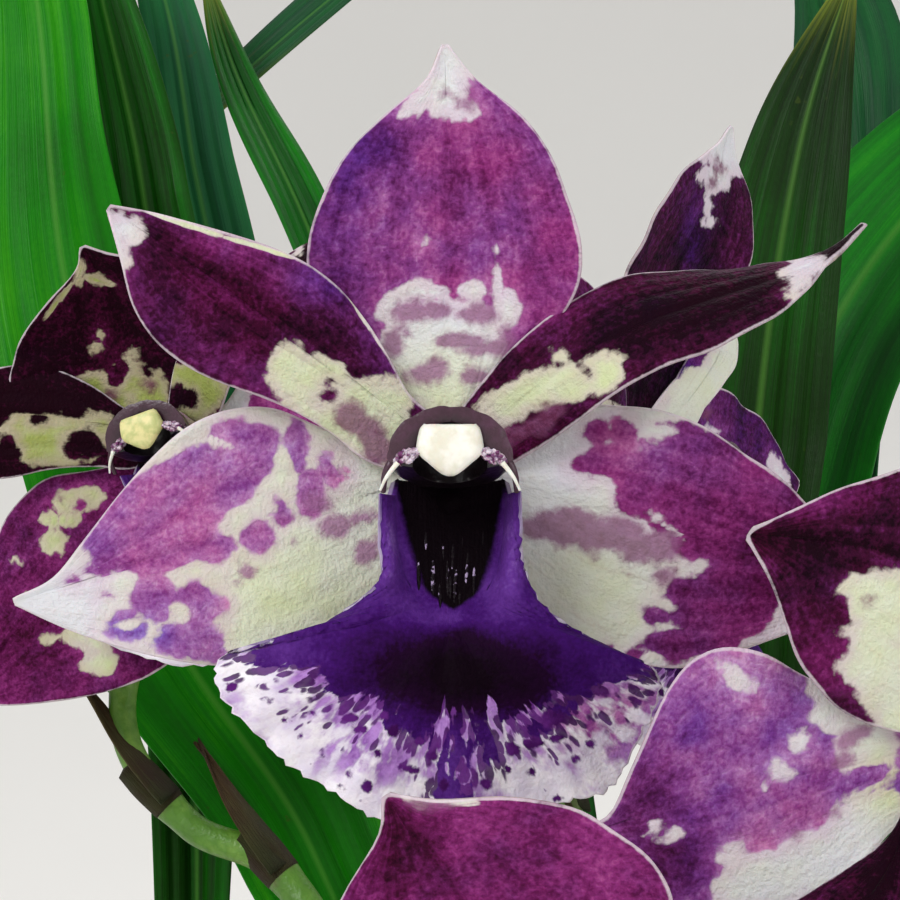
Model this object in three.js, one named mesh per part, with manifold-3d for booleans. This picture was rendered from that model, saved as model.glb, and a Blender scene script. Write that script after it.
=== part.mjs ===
// A potted zygonisia orchid: a clay pot filled with bark, four pseudobulbs with their strap leaves,
// and two flower spikes whose blooms have five tepals, a fan-shaped lip, a hooded column and an anther cap.
// Millimetres, +Z up, the origin at the centre of the pot's foot, the flowers facing -Y.
import * as THREE from "three";
import { mergeVertices } from "three/addons/utils/BufferGeometryUtils.js";
import Module from "manifold-3d";

const wasm = await Module();
wasm.setup();

// Driving dimensions
const gap = 0.35; // clearance between pieces that touch
const pot = {
  height: 118, footRadius: 44, topRadius: 61, wall: 5, floor: 7, rimHeight: 22, rimProud: 4, sides: 22,
};
const drain = { holes: 4, radius: 4.5, ring: 24 };
const bark = { level: 104, chips: 18, length: 17, width: 11, height: 7, sink: 1.5, seed: 11 };
const blade = { tepal: 0.7, lip: 0.75, leaf: 1.1, bract: 0.8 }; // thicknesses
const tipHalf = 0.25; // half the width a leaf or bract still has at its tip
const bloomBack = 4.1; // how far a bloom's seat on its stalk lies behind its centre

// Numbers that look random but are the same in every run, from -1 to 1
function chance(...keys) {
  const mixed = keys.reduce((sum, key, i) => sum + key * (12.9898 + 65.233 * i), 0.5);
  const wide = Math.sin(mixed) * 43758.5453;
  return 2 * (wide - Math.floor(wide)) - 1;
}

// Smooth value at s, from 0 to 1, of a list of evenly spaced values
function along(values, s) {
  const last = values.length - 1;
  const place = Math.min(Math.max(s, 0), 1) * last;
  const i = Math.min(Math.floor(place), last - 1);
  const f = place - i;
  const a = values[i];
  const b = values[i + 1];
  const before = i > 0 ? values[i - 1] : 2 * a - b;
  const after = i + 2 <= last ? values[i + 2] : 2 * b - a;
  const slopeA = (b - before) / 2;
  const slopeB = (after - a) / 2;
  const f2 = f * f;
  const f3 = f2 * f;
  return a * (2 * f3 - 3 * f2 + 1) + slopeA * (f3 - 2 * f2 + f) + b * (3 * f2 - 2 * f3) + slopeB * (f3 - f2);
}

function pointAlong(points, s) {
  return new THREE.Vector3(...[0, 1, 2].map((axis) => along(points.map((p) => p[axis]), s)));
}

function tangentAlong(points, s) {
  const step = 0.004;
  const before = pointAlong(points, Math.max(s - step, 0));
  return pointAlong(points, Math.min(s + step, 1)).sub(before).normalize();
}

// Solids: closed geometry in, manifold solid out, and back
function signedVolume(positions, index) {
  let sum = 0;
  const [a, b, c] = [new THREE.Vector3(), new THREE.Vector3(), new THREE.Vector3()];
  for (let i = 0; i < index.length; i += 3) {
    [a, b, c].forEach((v, k) => v.fromArray(positions, 3 * index[i + k]));
    sum += a.dot(b.cross(c));
  }
  return sum;
}

function closedGeometry(positions, index) {
  if (signedVolume(positions, index) < 0)
    for (let i = 0; i < index.length; i += 3) [index[i + 1], index[i + 2]] = [index[i + 2], index[i + 1]];
  const geometry = new THREE.BufferGeometry();
  geometry.setAttribute("position", new THREE.Float32BufferAttribute(positions, 3));
  geometry.setIndex(index);
  return geometry;
}

function solidOf(geometry) {
  const bare = geometry.clone();
  bare.deleteAttribute("normal");
  bare.deleteAttribute("uv");
  const merged = mergeVertices(bare, 1e-4);
  const vertProperties = new Float32Array(merged.attributes.position.array);
  const triVerts = new Uint32Array(merged.index.array);
  return new wasm.Manifold(new wasm.Mesh({ numProp: 3, vertProperties, triVerts }));
}

function geometryOf(solid) {
  const mesh = solid.getMesh();
  const geometry = new THREE.BufferGeometry();
  geometry.setAttribute("position", new THREE.Float32BufferAttribute(mesh.vertProperties, 3));
  geometry.setIndex(new THREE.Uint32BufferAttribute(mesh.triVerts, 1));
  return geometry;
}

const fuse = (solids) => solids.reduce((whole, solid) => whole.add(solid));

// The largest body of a solid, without the loose scraps that a cut may leave
function mainBody(solid) {
  return solid.decompose().sort((a, b) => b.volume() - a.volume())[0];
}

// A thin closed solid round the surface point(s, t), s from 0 to 1 along it and t from -1 to 1 across it,
// with the same triangles on both faces
function bladeSolid(point, rows, cols, thickness) {
  const front = [];
  const back = [];
  for (let i = 0; i <= rows; i++)
    for (let j = 0; j <= cols; j++) {
      const s = i / rows;
      const t = (2 * j) / cols - 1;
      const lengthways = point(Math.min(s + 0.5 / rows, 1), t).sub(point(Math.max(s - 0.5 / rows, 0), t));
      const across = point(s, Math.min(t + 1 / cols, 1)).sub(point(s, Math.max(t - 1 / cols, -1)));
      const normal = lengthways.cross(across).normalize();
      const middle = point(s, t);
      front.push(...middle.clone().addScaledVector(normal, thickness / 2).toArray());
      back.push(...middle.addScaledVector(normal, -thickness / 2).toArray());
    }
  const count = (rows + 1) * (cols + 1);
  const index = [];
  for (let i = 0; i < rows; i++)
    for (let j = 0; j < cols; j++) {
      const a = i * (cols + 1) + j;
      const b = a + cols + 1;
      index.push(a, b, a + 1, a + 1, b, b + 1);
      index.push(a + count, a + 1 + count, b + count, a + 1 + count, b + 1 + count, b + count);
    }
  const rim = [];
  for (let j = 0; j < cols; j++) rim.push(j);
  for (let i = 0; i < rows; i++) rim.push(i * (cols + 1) + cols);
  for (let j = cols; j > 0; j--) rim.push(rows * (cols + 1) + j);
  for (let i = rows; i > 0; i--) rim.push(i * (cols + 1));
  rim.forEach((a, k) => {
    const b = rim[(k + 1) % rim.length];
    index.push(a, b, a + count, b, b + count, a + count);
  });
  return solidOf(closedGeometry([...front, ...back], index));
}

// A closed tube of round sections along a list of points, with a radius list
function tubeSolid(points, radii, steps, sides) {
  const positions = [];
  const index = [];
  let side = new THREE.Vector3(1, 0, 0);
  for (let i = 0; i <= steps; i++) {
    const s = i / steps;
    const tangent = tangentAlong(points, s);
    side = side.addScaledVector(tangent, -side.dot(tangent)).normalize();
    const up = tangent.clone().cross(side);
    const centre = pointAlong(points, s);
    for (let k = 0; k < sides; k++) {
      const turn = (2 * Math.PI * k) / sides;
      const spoke = side.clone().multiplyScalar(Math.cos(turn)).addScaledVector(up, Math.sin(turn));
      positions.push(...centre.clone().addScaledVector(spoke, along(radii, s)).toArray());
    }
  }
  for (let i = 0; i < steps; i++)
    for (let k = 0; k < sides; k++) {
      const a = i * sides + k;
      const b = i * sides + ((k + 1) % sides);
      index.push(a, b, a + sides, b, b + sides, a + sides);
    }
  const start = positions.length / 3;
  positions.push(...pointAlong(points, 0).toArray(), ...pointAlong(points, 1).toArray());
  for (let k = 0; k < sides; k++) {
    const next = (k + 1) % sides;
    index.push(start, next, k, start + 1, steps * sides + k, steps * sides + next);
  }
  return solidOf(closedGeometry(positions, index));
}

function ballSolid(radii, centre, segments) {
  const ball = new THREE.SphereGeometry(1, segments, Math.round(segments * 0.6));
  ball.scale(...radii);
  ball.translate(...centre);
  return solidOf(ball);
}

// Materials
const finish = (color, roughness) => new THREE.MeshStandardMaterial({ color, roughness, metalness: 0 });
const clay = finish("#b5673f", 0.9);
const chips = finish("#6b4430", 0.95);
const bulbGreen = finish("#6f8a3a", 0.6);
const leafGreen = finish("#2f7a2a", 0.5);
const stemGreen = finish("#6d8f3c", 0.6);
const tepalPurple = finish("#7a3578", 0.6);
const lipViolet = finish("#4a1c86", 0.55);
const columnMaroon = finish("#3c1730", 0.4);
const capWhite = finish("#ece9dc", 0.45);

const plant = new THREE.Group();
function addNode(name, solid, material, group = plant) {
  const mesh = new THREE.Mesh(geometryOf(solid), material);
  mesh.name = name;
  group.add(mesh);
  return mesh;
}

// Clay pot: a tapered wall with a collar at the rim, open at the top, with drain holes in the floor
function potSolid() {
  const { height, footRadius, topRadius, wall, floor, rimHeight, rimProud, sides } = pot;
  const collar = height - rimHeight;
  const wallAt = (z) => footRadius + ((topRadius - footRadius) * z) / height;
  const outline = [
    [0, 0],
    [footRadius - 1.5, 0],
    [footRadius, 1.5],
    [wallAt(collar), collar],
    [wallAt(collar) + rimProud, collar + 2],
    [topRadius + rimProud, height - 2],
    [topRadius + rimProud - 2, height],
    [topRadius - wall + 2, height],
    [topRadius - wall, height - 2],
    [wallAt(floor) - wall, floor + 3],
    [wallAt(floor) - wall - 3, floor],
    [0, floor],
  ];
  const body = new THREE.LatheGeometry(outline.map((p) => new THREE.Vector2(...p)), sides);
  body.rotateX(Math.PI / 2);
  let shell = solidOf(body);
  for (let k = 0; k < drain.holes; k++) {
    const turn = (2 * Math.PI * (k + 0.5)) / drain.holes;
    const hole = new THREE.CylinderGeometry(drain.radius, drain.radius, 3 * floor, 12);
    hole.rotateX(Math.PI / 2);
    hole.translate(drain.ring * Math.cos(turn), drain.ring * Math.sin(turn), 0);
    shell = shell.subtract(solidOf(hole));
  }
  return shell;
}

// Pseudobulbs: ovoid, a little flattened, standing in the bark
const bulbs = [
  { name: "pseudobulb_back_left", foot: [-24, 27], radii: [13, 11], height: 58, lean: [-3, 4] },
  { name: "pseudobulb_centre", foot: [1, 2], radii: [14, 12], height: 62, lean: [0, 1] },
  { name: "pseudobulb_right", foot: [31, 15], radii: [12, 11], height: 54, lean: [4, 3] },
  { name: "pseudobulb_old", foot: [-29, -15], radii: [12, 10], height: 40, lean: [-3, -2] },
];
const bulbFoot = 97; // the height of a bulb's underside, below the bark's surface

function bulbSolid({ foot, radii, height, lean }, grow = 0) {
  const outline = [0, 0.62, 0.9, 1, 0.95, 0.78, 0.52, 0.3].map((share, i, all) => {
    const s = i / (all.length - 1);
    return new THREE.Vector2(i === 0 ? 0 : share + grow / radii[0], s);
  });
  outline.push(new THREE.Vector2(0, 1 + grow / height));
  const shape = new THREE.LatheGeometry(outline, 10);
  shape.rotateX(Math.PI / 2);
  shape.scale(radii[0], radii[1], height);
  const place = shape.attributes.position;
  for (let i = 0; i < place.count; i++) {
    const s = place.getZ(i) / height;
    place.setXYZ(
      i,
      place.getX(i) + foot[0] + lean[0] * s,
      place.getY(i) + foot[1] + lean[1] * s,
      place.getZ(i) + bulbFoot,
    );
  }
  return solidOf(shape);
}

// Leaves: strap blades folded at the foot, through a few points each, [x, y, z]
const leafWidth = [0.15, 0.32, 0.6, 0.82, 0.95, 1, 0.97, 0.86, 0.66, 0.36, 0.02];
const leaves = [
  {
    name: "leaf_left_arch", width: 24, roll: [0, 10, 50, 62, 62, 40, 22],
    spine: [
      [-1.4, 5.4, 160], [-2, 27, 208], [-17, 43, 248], [-37, 50, 278], [-50, 55, 320], [-56, 64, 362],
      [-70, 90, 396],
    ],
  },
  {
    name: "leaf_low_left", width: 18, roll: [0, 20],
    spine: [
      [3.4, 4.6, 160], [14, 44, 200], [2, 66, 228], [-18, 73, 249], [-38, 76, 270], [-64, 84, 276],
      [-98, 90, 262],
    ],
  },
  {
    name: "leaf_centre_thin", width: 11, roll: [0, 10],
    spine: [
      [1, -0.4, 160], [16, 25, 214], [10, 53, 272], [-10, 66, 306], [-21.5, 76, 333], [-31, 86, 353],
      [-37, 96, 371],
    ],
  },
  {
    name: "leaf_left_upright", width: 13, roll: [0, 0, 10, 45, 45, 30, 22],
    spine: [
      [-25, 33.6, 156], [-20, 50, 212], [-20, 63, 265], [-30, 72, 312], [-36, 77, 339], [-41, 83, 364],
      [-54, 104, 397],
    ],
  },
  {
    name: "leaf_far_left", width: 14, roll: [5, 5, 20, 42, 50, 25, 12],
    spine: [
      [-29.6, 31, 156], [-32, 44, 205], [-33, 53, 255], [-37, 59, 300], [-41, 62, 333], [-48, 69, 362],
      [-54, 86, 382],
    ],
  },
  {
    name: "leaf_back_cross", width: 20, roll: [0, 20, 50],
    spine: [
      [37.8, 20.4, 152], [46, 50, 215], [54, 72, 280], [58, 84, 330], [54, 93, 368], [34, 100, 388],
      [8, 103, 388], [-14, 104, 371], [-34, 104, 354], [-52, 104, 336],
    ],
  },
  {
    name: "leaf_right_slim", width: 19, roll: [0, -50, -70],
    spine: [[36, 15, 152], [31, 25, 202], [34, 29, 252], [37, 30, 301], [42, 31, 335], [49, 33, 358]],
  },
  {
    name: "leaf_right_broad", width: 29, roll: [0, -40, -60],
    spine: [
      [32.8, 19.6, 152], [32, 38, 205], [36, 48, 255], [43, 53, 296], [56, 57, 324], [80, 64, 346],
      [112, 76, 352],
    ],
  },
  {
    name: "leaf_right_arch", width: 20, roll: [0, -30],
    spine: [[39, 16.6, 152], [51, 26, 205], [57, 34, 252], [66, 42, 294], [86, 48, 326], [120, 56, 334]],
  },
  {
    name: "leaf_front_left", width: 22, roll: [0, 0],
    spine: [[-33.4, -19.2, 138], [-49, -38, 176], [-68, -60, 196], [-92, -82, 188], [-112, -100, 150]],
  },
  {
    name: "leaf_old_left", width: 20, roll: [0, 0],
    spine: [[-35, -14.2, 138], [-60, -8, 184], [-94, 0, 214], [-132, 6, 214], [-162, 8, 178]],
  },
];

// Side and face directions of a blade's spine at s, turned about the spine by roll degrees
function spineFrame(points, s, towards, roll) {
  const tangent = tangentAlong(points, s);
  const face = towards.clone().addScaledVector(tangent, -towards.dot(tangent)).normalize();
  const side = tangent.clone().cross(face);
  const turn = (roll * Math.PI) / 180;
  return {
    side: side.clone().multiplyScalar(Math.cos(turn)).addScaledVector(face, Math.sin(turn)),
    face: face.clone().multiplyScalar(Math.cos(turn)).addScaledVector(side, -Math.sin(turn)),
  };
}

function leafSolid({ width, roll, spine }) {
  const up = new THREE.Vector3(0, 0, 1);
  const surface = (s, t) => {
    const { side, face } = spineFrame(spine, s, up, along(roll, s));
    const half = (width / 2) * along(leafWidth, s) + tipHalf;
    const fold = 0.85 * (1 - s) ** 2 + 0.18;
    const point = pointAlong(spine, s).addScaledVector(side, t * half * (1 - 0.25 * fold));
    return point.addScaledVector(face, Math.abs(t) * half * fold);
  };
  return bladeSolid(surface, 11, 2, blade.leaf);
}

// Bloom, in its own frame: x to the viewer's right, y up, z towards the viewer, the column's foot at
// the origin. Each tepal has a spine and its half widths on both sides of it, in even steps from foot
// to tip; cup bends its edges towards the viewer and roll turns it about its spine.
const tepals = [
  {
    part: "dorsal_sepal",
    spine: [[0, 0, -1.7], [0, 8, -1.4], [0, 16, -0.4], [-0.2, 24.2, 1.2], [-0.4, 31.1, 2.6]],
    plus: [2, 3.8, 6, 8.6, 10.2, 10.3, 9.3, 8, 5.8, 2.4, 0.25],
    minus: [2, 4, 6.4, 9.2, 11.1, 11.2, 10.2, 8.3, 5.2, 1.7, 0.25],
    cup: [0, 0.1, 0.16, 0.12, 0.05],
    roll: [0, 0, 0],
  },
  {
    part: "left_lateral_sepal",
    spine: [[-2, -3, -1.7], [-10, -5.6, -1.2], [-18.3, -7.9, -0.2], [-26.4, -10.4, 1], [-34.4, -12.8, 2.2]],
    plus: [2.5, 3.9, 6.3, 8.8, 9.7, 9.3, 7.7, 5.6, 3.2, 0.9, 0.25],
    minus: [3, 5.2, 8, 9.9, 10.8, 10.6, 9.5, 7.8, 5.7, 3.3, 0.25],
    cup: [0, 0.04, 0.06, 0.04, 0],
    roll: [0, 2, 4],
  },
  {
    part: "right_lateral_sepal",
    spine: [[2, -3, -1.7], [10, -5.4, -1.2], [18.2, -7.6, -0.2], [26.4, -9.8, 0.8], [34.4, -12, 1.6]],
    plus: [3, 5.2, 7.6, 9.6, 10.8, 10.6, 9.9, 7.8, 5.4, 3, 0.25],
    minus: [2.5, 4.3, 7.8, 8.8, 9.2, 8.8, 7.6, 6.4, 4.3, 2, 0.25],
    cup: [0, 0.04, 0.06, 0.04, 0],
    roll: [0, 0, 0],
  },
  {
    part: "left_petal",
    spine: [[-1.8, 0.3, -0.9], [-8.1, 4.8, 1.2], [-14.3, 9.2, 3.4], [-20.4, 13.6, 5.4], [-26.2, 17.8, 7]],
    plus: [1.6, 1.8, 3.3, 4.6, 5.4, 5.5, 4.9, 3.9, 2.8, 1.65, 0.25],
    minus: [3.6, 4.4, 4.2, 4.4, 5, 5.9, 6.4, 6.2, 5, 2.6, 0.25],
    cup: [0, -0.06, -0.08, -0.04, 0.05],
    roll: [0, 0, 0],
  },
  {
    part: "right_petal",
    spine: [
      [2.4, 0.5, -0.9], [8, 5, 1], [14, 8.6, 2.2], [20, 10.8, 1.8], [26, 12.8, 0.4], [30.2, 14.8, -1.6],
      [33.8, 17.8, -4],
    ],
    plus: [3.4, 4, 4.2, 4.1, 4.3, 4.6, 3.7, 2.2, 0.9, 0.5, 0.25],
    minus: [2.4, 3.4, 4.3, 5, 5.2, 4.7, 3.7, 2.6, 1.3, 0.5, 0.25],
    cup: [0, -0.06, -0.1, -0.2, -0.3],
    roll: [0, 24, 44, 50, 56],
  },
];

// A bloom's vary changes single tepals: turn and lift move one, broad and long stretch it, lean makes
// one side broader than the other, late moves its breadth towards the tip, curve bends it sideways and
// bow towards the viewer. Its wild adds small differences of every kind.
function tepalSurface(tepal, bloom, order) {
  const { spine, plus, minus, cup, roll } = tepal;
  const vary = bloom.vary?.[tepal.part] ?? {};
  const { turn = 0, lift = 0, broad = 1, long = 1, lean = 0, late = 1, curve = 0, bow = 0 } = vary;
  const wild = (channel, most) => most * chance(bloom.order, order, channel) * bloom.wild;
  const spin = ((turn + wild(1, 3)) * Math.PI) / 180;
  const rise = lift + wild(2, 3);
  const cupMore = 1 + wild(3, 0.6);
  const rollMore = wild(4, 12);
  const viewer = new THREE.Vector3(0, 0, 1);
  return (s, t) => {
    const { side, face } = spineFrame(spine, s, viewer, along(roll, s) + rollMore * s);
    const widen = broad * (1 + lean * Math.sign(t));
    const half = along(t > 0 ? plus : minus, s ** late) * (1 + (widen - 1) * Math.min(4 * s, 1));
    const point = pointAlong(spine, s).multiply(new THREE.Vector3(long, long, 1));
    point.addScaledVector(side, t * half + curve * Math.sin(Math.PI * s));
    point.addScaledVector(face, along(cup, s) * cupMore * t * t * half);
    const x = point.x * Math.cos(spin) - point.y * Math.sin(spin);
    const y = point.x * Math.sin(spin) + point.y * Math.cos(spin);
    const forward = rise * s * s + bow * Math.sin(Math.PI * s * s) ** 2;
    return point.set(bloom.mirror ? -x : x, y, point.z + forward);
  };
}

// The lip is one sheet: the dark crest in its throat, then the fan out to a free margin, which runs from
// its upper left down round the fan to its upper right, [x, y]
const throatShare = 0.25;
const lipBulge = 15; // how boldly the fan swells towards the viewer below the throat
const lipMargin = [
  [-5.4, -4.2], [-5.5, -7.8], [-5.4, -10.8], [-8, -13.2], [-11.3, -15.1], [-14.8, -15.8], [-17.9, -17],
  [-17.8, -19.6], [-15.2, -22.5], [-12.4, -25.2], [-8.9, -27.3], [-5.6, -29.3], [-1.9, -30.2],
  [1.9, -30], [5.6, -29.2], [9.2, -27.9], [12.3, -27], [14.2, -24], [15.9, -20.6], [16, -18],
  [13, -16.4], [9.8, -14.8], [7, -12.6], [5.7, -9.6], [5.5, -6.8], [5.4, -4],
];

function lipSurface(bloom) {
  const sway = 2 * chance(bloom.order, 9, 1) * bloom.wild;
  return (s, t) => {
    const share = (t + 1) / 2;
    const round = (Math.PI / 2) * t * Math.abs(t);
    const crest = [3.4 * t, -4.4, 3 - 0.6 * (1 - t * t)];
    const depth = 9.2 * Math.max(Math.cos(round), 0) ** 0.7;
    const throat = [4.6 * Math.sin(round), -4.4 - depth, 5 - 1.5 * t ** 4];
    const [marginX, marginY] = [0, 1].map((axis) => along(lipMargin.map((p) => p[axis]), share));
    const ruffle = 0.5 * Math.sin(9 * Math.PI * t);
    const shrink = 1 - (1 - (bloom.lip ?? 1)) * (1 - t ** 4);
    const margin = [marginX * shrink, (marginY + 8) * shrink - 8, 6.8 - 0.8 * t ** 4 + ruffle];
    const inner = s < throatShare;
    const f = inner ? s / throatShare : (s - throatShare) / (1 - throatShare);
    const [from, to] = inner ? [crest, throat] : [throat, margin];
    const [x, y, z] = from.map((value, i) => value + (to[i] - value) * f);
    const bulge = inner ? 0 : lipBulge * (1 - t ** 4) * f * (1 - f) ** 2 + sway * f * f;
    return new THREE.Vector3(bloom.mirror ? -x : x, y, z + bulge);
  };
}

function lipSolid(bloom) {
  const [across, down] = bloom.fine ? [18, 6] : [12, 4];
  const claw = ballSolid([1.4, 1.5, 1.9], [0, -5.1, 1.3], 6);
  return fuse([bladeSolid(lipSurface(bloom), down, across, blade.lip), claw]);
}

function tepalsSolid(bloom) {
  const [rows, cols] = bloom.fine ? [7, 6] : [5, 4];
  const boss = ballSolid([3.4, 3.6, 2.1], [0, -0.8, -bloomBack + 2.1], 8);
  const blades = tepals.map((tepal, order) =>
    bladeSolid(tepalSurface(tepal, bloom, order), rows, cols, blade.tepal),
  );
  return mainBody(fuse([boss, ...blades]));
}

// Column: an arched hood over a hollow front that holds the anther cap, and two side arms.
// Its sections, from its foot to its front, have a z, a half width, a top and a bottom.
const columnSections = [
  [0.6, 2.4, 2.1, -2],
  [3.6, 3.2, 2.2, -3.7],
  [6.5, 4.2, 2.4, -3.4],
  [9.4, 4.8, 2.6, -2.3],
];
const cap = { centre: [0, -0.7, 10], radii: [2.5, 2.05, 1.25] };

function columnSolid(bloom) {
  const sides = bloom.fine ? 12 : 8;
  const positions = [];
  const index = [];
  for (const [z, half, top, bottom] of columnSections)
    for (let k = 0; k < sides; k++) {
      const turn = (2 * Math.PI * k) / sides;
      const belly = bottom + 0.9;
      const rise = Math.sin(turn);
      positions.push(half * Math.cos(turn), belly + (rise > 0 ? top - belly : 0.9) * rise, z);
    }
  const last = columnSections.length - 1;
  for (let i = 0; i < last; i++)
    for (let k = 0; k < sides; k++) {
      const a = i * sides + k;
      const b = i * sides + ((k + 1) % sides);
      index.push(a, b, a + sides, b, b + sides, a + sides);
    }
  const start = positions.length / 3;
  positions.push(0, 0, columnSections[0][0], 0, 0, columnSections[last][0]);
  for (let k = 0; k < sides; k++) {
    const next = (k + 1) % sides;
    index.push(start, next, k, start + 1, last * sides + k, last * sides + next);
  }
  const hollow = ballSolid([3.6, 3.7, 3.7], [0, -1.7, 10.1], sides);
  const hood = mainBody(solidOf(closedGeometry(positions, index)).subtract(hollow));
  if (!bloom.fine) return hood;
  const arms = [-1, 1].map((hand) => {
    const reach = [[3.9, -1.4, 8.4], [4.8, -2.6, 9], [5.5, -4.4, 8.6]].map(([x, y, z]) => [x * hand, y, z]);
    return tubeSolid(reach, [0.6, 0.45, 0.3], 2, 4);
  });
  return mainBody(fuse([hood, ...arms]));
}

const capSolid = () => ballSolid(cap.radii, cap.centre, 8);

// Where each bloom is: its centre, and how it is turned from facing -Y, in degrees.
// yaw turns it to its left hand side, nod tips it down and roll turns its face anticlockwise.
// lip is the share of the full length that a smaller lip has.
const blooms = [
  { name: "bloom_main", order: 0, fine: true, wild: 0, centre: [0, -60, 300], yaw: 0, nod: 0, roll: 0 },
  {
    name: "bloom_lower_right", order: 1, wild: 0.3, centre: [45, -72, 281.5], yaw: 8, nod: 0, roll: 2,
    vary: {
      left_petal: { turn: 7, broad: 2, long: 0.87, lean: 0.15, late: 0.6, curve: 3 },
      left_lateral_sepal: { turn: -8, broad: 1.1, late: 2.1 },
    },
  },
  {
    name: "bloom_lower_front", order: 2, wild: 0.3, centre: [12, -87, 250.3], yaw: -2, nod: 6, roll: 30,
    vary: {
      dorsal_sepal: { broad: 1.2, late: 1.3 },
      right_petal: { turn: -8, lift: -8, long: 0.85 },
      right_lateral_sepal: { turn: -8, lift: -8, long: 0.9 },
    },
  },
  {
    name: "bloom_behind", order: 3, wild: 0.3, centre: [19, -18, 297.6], yaw: 55, nod: 0, roll: -8,
    vary: {
      dorsal_sepal: { turn: -13, long: 1.18, broad: 0.84, lean: 0.12, bow: 2, curve: -3, late: 1.2 },
      left_lateral_sepal: { turn: 6, lift: -8 },
      left_petal: { lift: -6 },
      right_petal: { turn: 21, lift: -2, long: 0.78, broad: 0.48 },
      right_lateral_sepal: { turn: 24, long: 0.9, broad: 1.12 },
    },
  },
  {
    name: "bloom_lowest", order: 4, wild: 0.8, mirror: true, centre: [-26, -60, 217],
    yaw: -38, nod: 8, roll: 8,
  },
  {
    name: "bloom_left", order: 5, wild: 0.3, centre: [-32, 17, 302], yaw: -12, nod: 0, roll: 19,
    lip: 0.88,
    vary: {
      dorsal_sepal: { lift: 6, long: 0.68, broad: 1.25, lean: -0.1 },
      left_lateral_sepal: { turn: 13, broad: 1.25, long: 1.1, lean: -0.15 },
      left_petal: { turn: 12, broad: 1.12 },
      right_petal: { turn: 5, long: 0.85 },
    },
  },
  { name: "bloom_far_left", order: 6, wild: 0.8, centre: [-84, 52, 296], yaw: -110, nod: 6, roll: -12 },
];

function bloomTurn({ yaw, nod, roll }) {
  const rad = (degrees) => (degrees * Math.PI) / 180;
  const stand = new THREE.Matrix4().makeRotationX(Math.PI / 2);
  const spin = new THREE.Matrix4().makeRotationZ(rad(roll));
  const tip = new THREE.Matrix4().makeRotationX(rad(nod));
  const turn = new THREE.Matrix4().makeRotationZ(rad(yaw));
  return turn.multiply(tip).multiply(stand).multiply(spin);
}

function addBloom(bloom) {
  const group = new THREE.Group();
  group.applyMatrix4(bloomTurn(bloom));
  group.position.set(...bloom.centre);
  addNode(`${bloom.name}_tepals`, tepalsSolid(bloom), tepalPurple, group);
  addNode(`${bloom.name}_lip`, lipSolid(bloom), lipViolet, group);
  addNode(`${bloom.name}_column`, columnSolid(bloom), columnMaroon, group);
  addNode(`${bloom.name}_anther_cap`, capSolid(), capWhite, group);
  plant.add(group);
}

// Flower spikes: a stalk through a list of points, with a stalklet to each bloom, bracts and end buds.
// joins says at what share of the stalk each bloom's stalklet leaves it, sag how far it hangs through,
// sheaths at what shares the stalk is sheathed, and buds a bud's middle, radius and half length.
const spikes = [
  {
    name: "flower_spike_front",
    points: [
      [21, -13, 96], [21, -26, 145], [18, -36, 190], [15, -39, 226], [12, -32, 250], [10, -14, 272],
      [6, -5, 294], [3, -4, 312],
    ],
    radii: [2.7, 2.5, 2.2, 1.9, 1.6, 1.3],
    stalklets: [
      { bloom: "bloom_lowest", joins: 0.46, sag: -5 },
      { bloom: "bloom_lower_front", joins: 0.54, sag: -8 },
      { bloom: "bloom_lower_right", joins: 0.62, sag: -5 },
      { bloom: "bloom_main", joins: 0.66, sag: -9 },
      { bloom: "bloom_behind", joins: 0.88, sag: -1 },
    ],
    sheaths: [0.16, 0.3],
    buds: [[3, -3, 318, 3.2, 8], [8, -2, 308, 2.6, 7]],
  },
  {
    name: "flower_spike_rear",
    points: [
      [-15, 8, 96], [-18, 12, 150], [-15, 16, 200], [-13, 20, 235], [-20, 25, 249.5], [-31, 27, 254.8],
      [-39, 29, 266], [-37, 34, 284], [-33, 38, 300],
    ],
    radii: [2.6, 2.4, 2.1, 1.8, 1.6, 1.3],
    stalklets: [
      { bloom: "bloom_left", joins: 0.92, sag: -1 },
      { bloom: "bloom_far_left", joins: 0.8, sag: -3 },
    ],
    sheaths: [0.14, 0.28, 0.5, 0.66],
    buds: [[-32, 39, 306, 3.2, 8], [-28, 40, 297, 2.6, 7]],
  },
];

// A bract on a stalk at a point, along its direction, standing off its middle by clasp
function bractSolid(at, direction, length, width, clasp) {
  const up = direction.clone();
  const outward = new THREE.Vector3(0, 0, 1).cross(up);
  const side = outward.lengthSq() > 1e-4 ? outward.normalize() : new THREE.Vector3(1, 0, 0);
  const face = side.clone().cross(up);
  const surface = (s, t) => {
    const taper = 1 - s ** 1.6;
    const point = at.clone().addScaledVector(up, length * s);
    point.addScaledVector(side, t * ((width / 2) * taper + tipHalf));
    return point.addScaledVector(face, -clasp * (1 - 0.8 * t * t * taper) - 0.8 * s * s);
  };
  return bladeSolid(surface, 2, 2, blade.bract);
}

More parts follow.
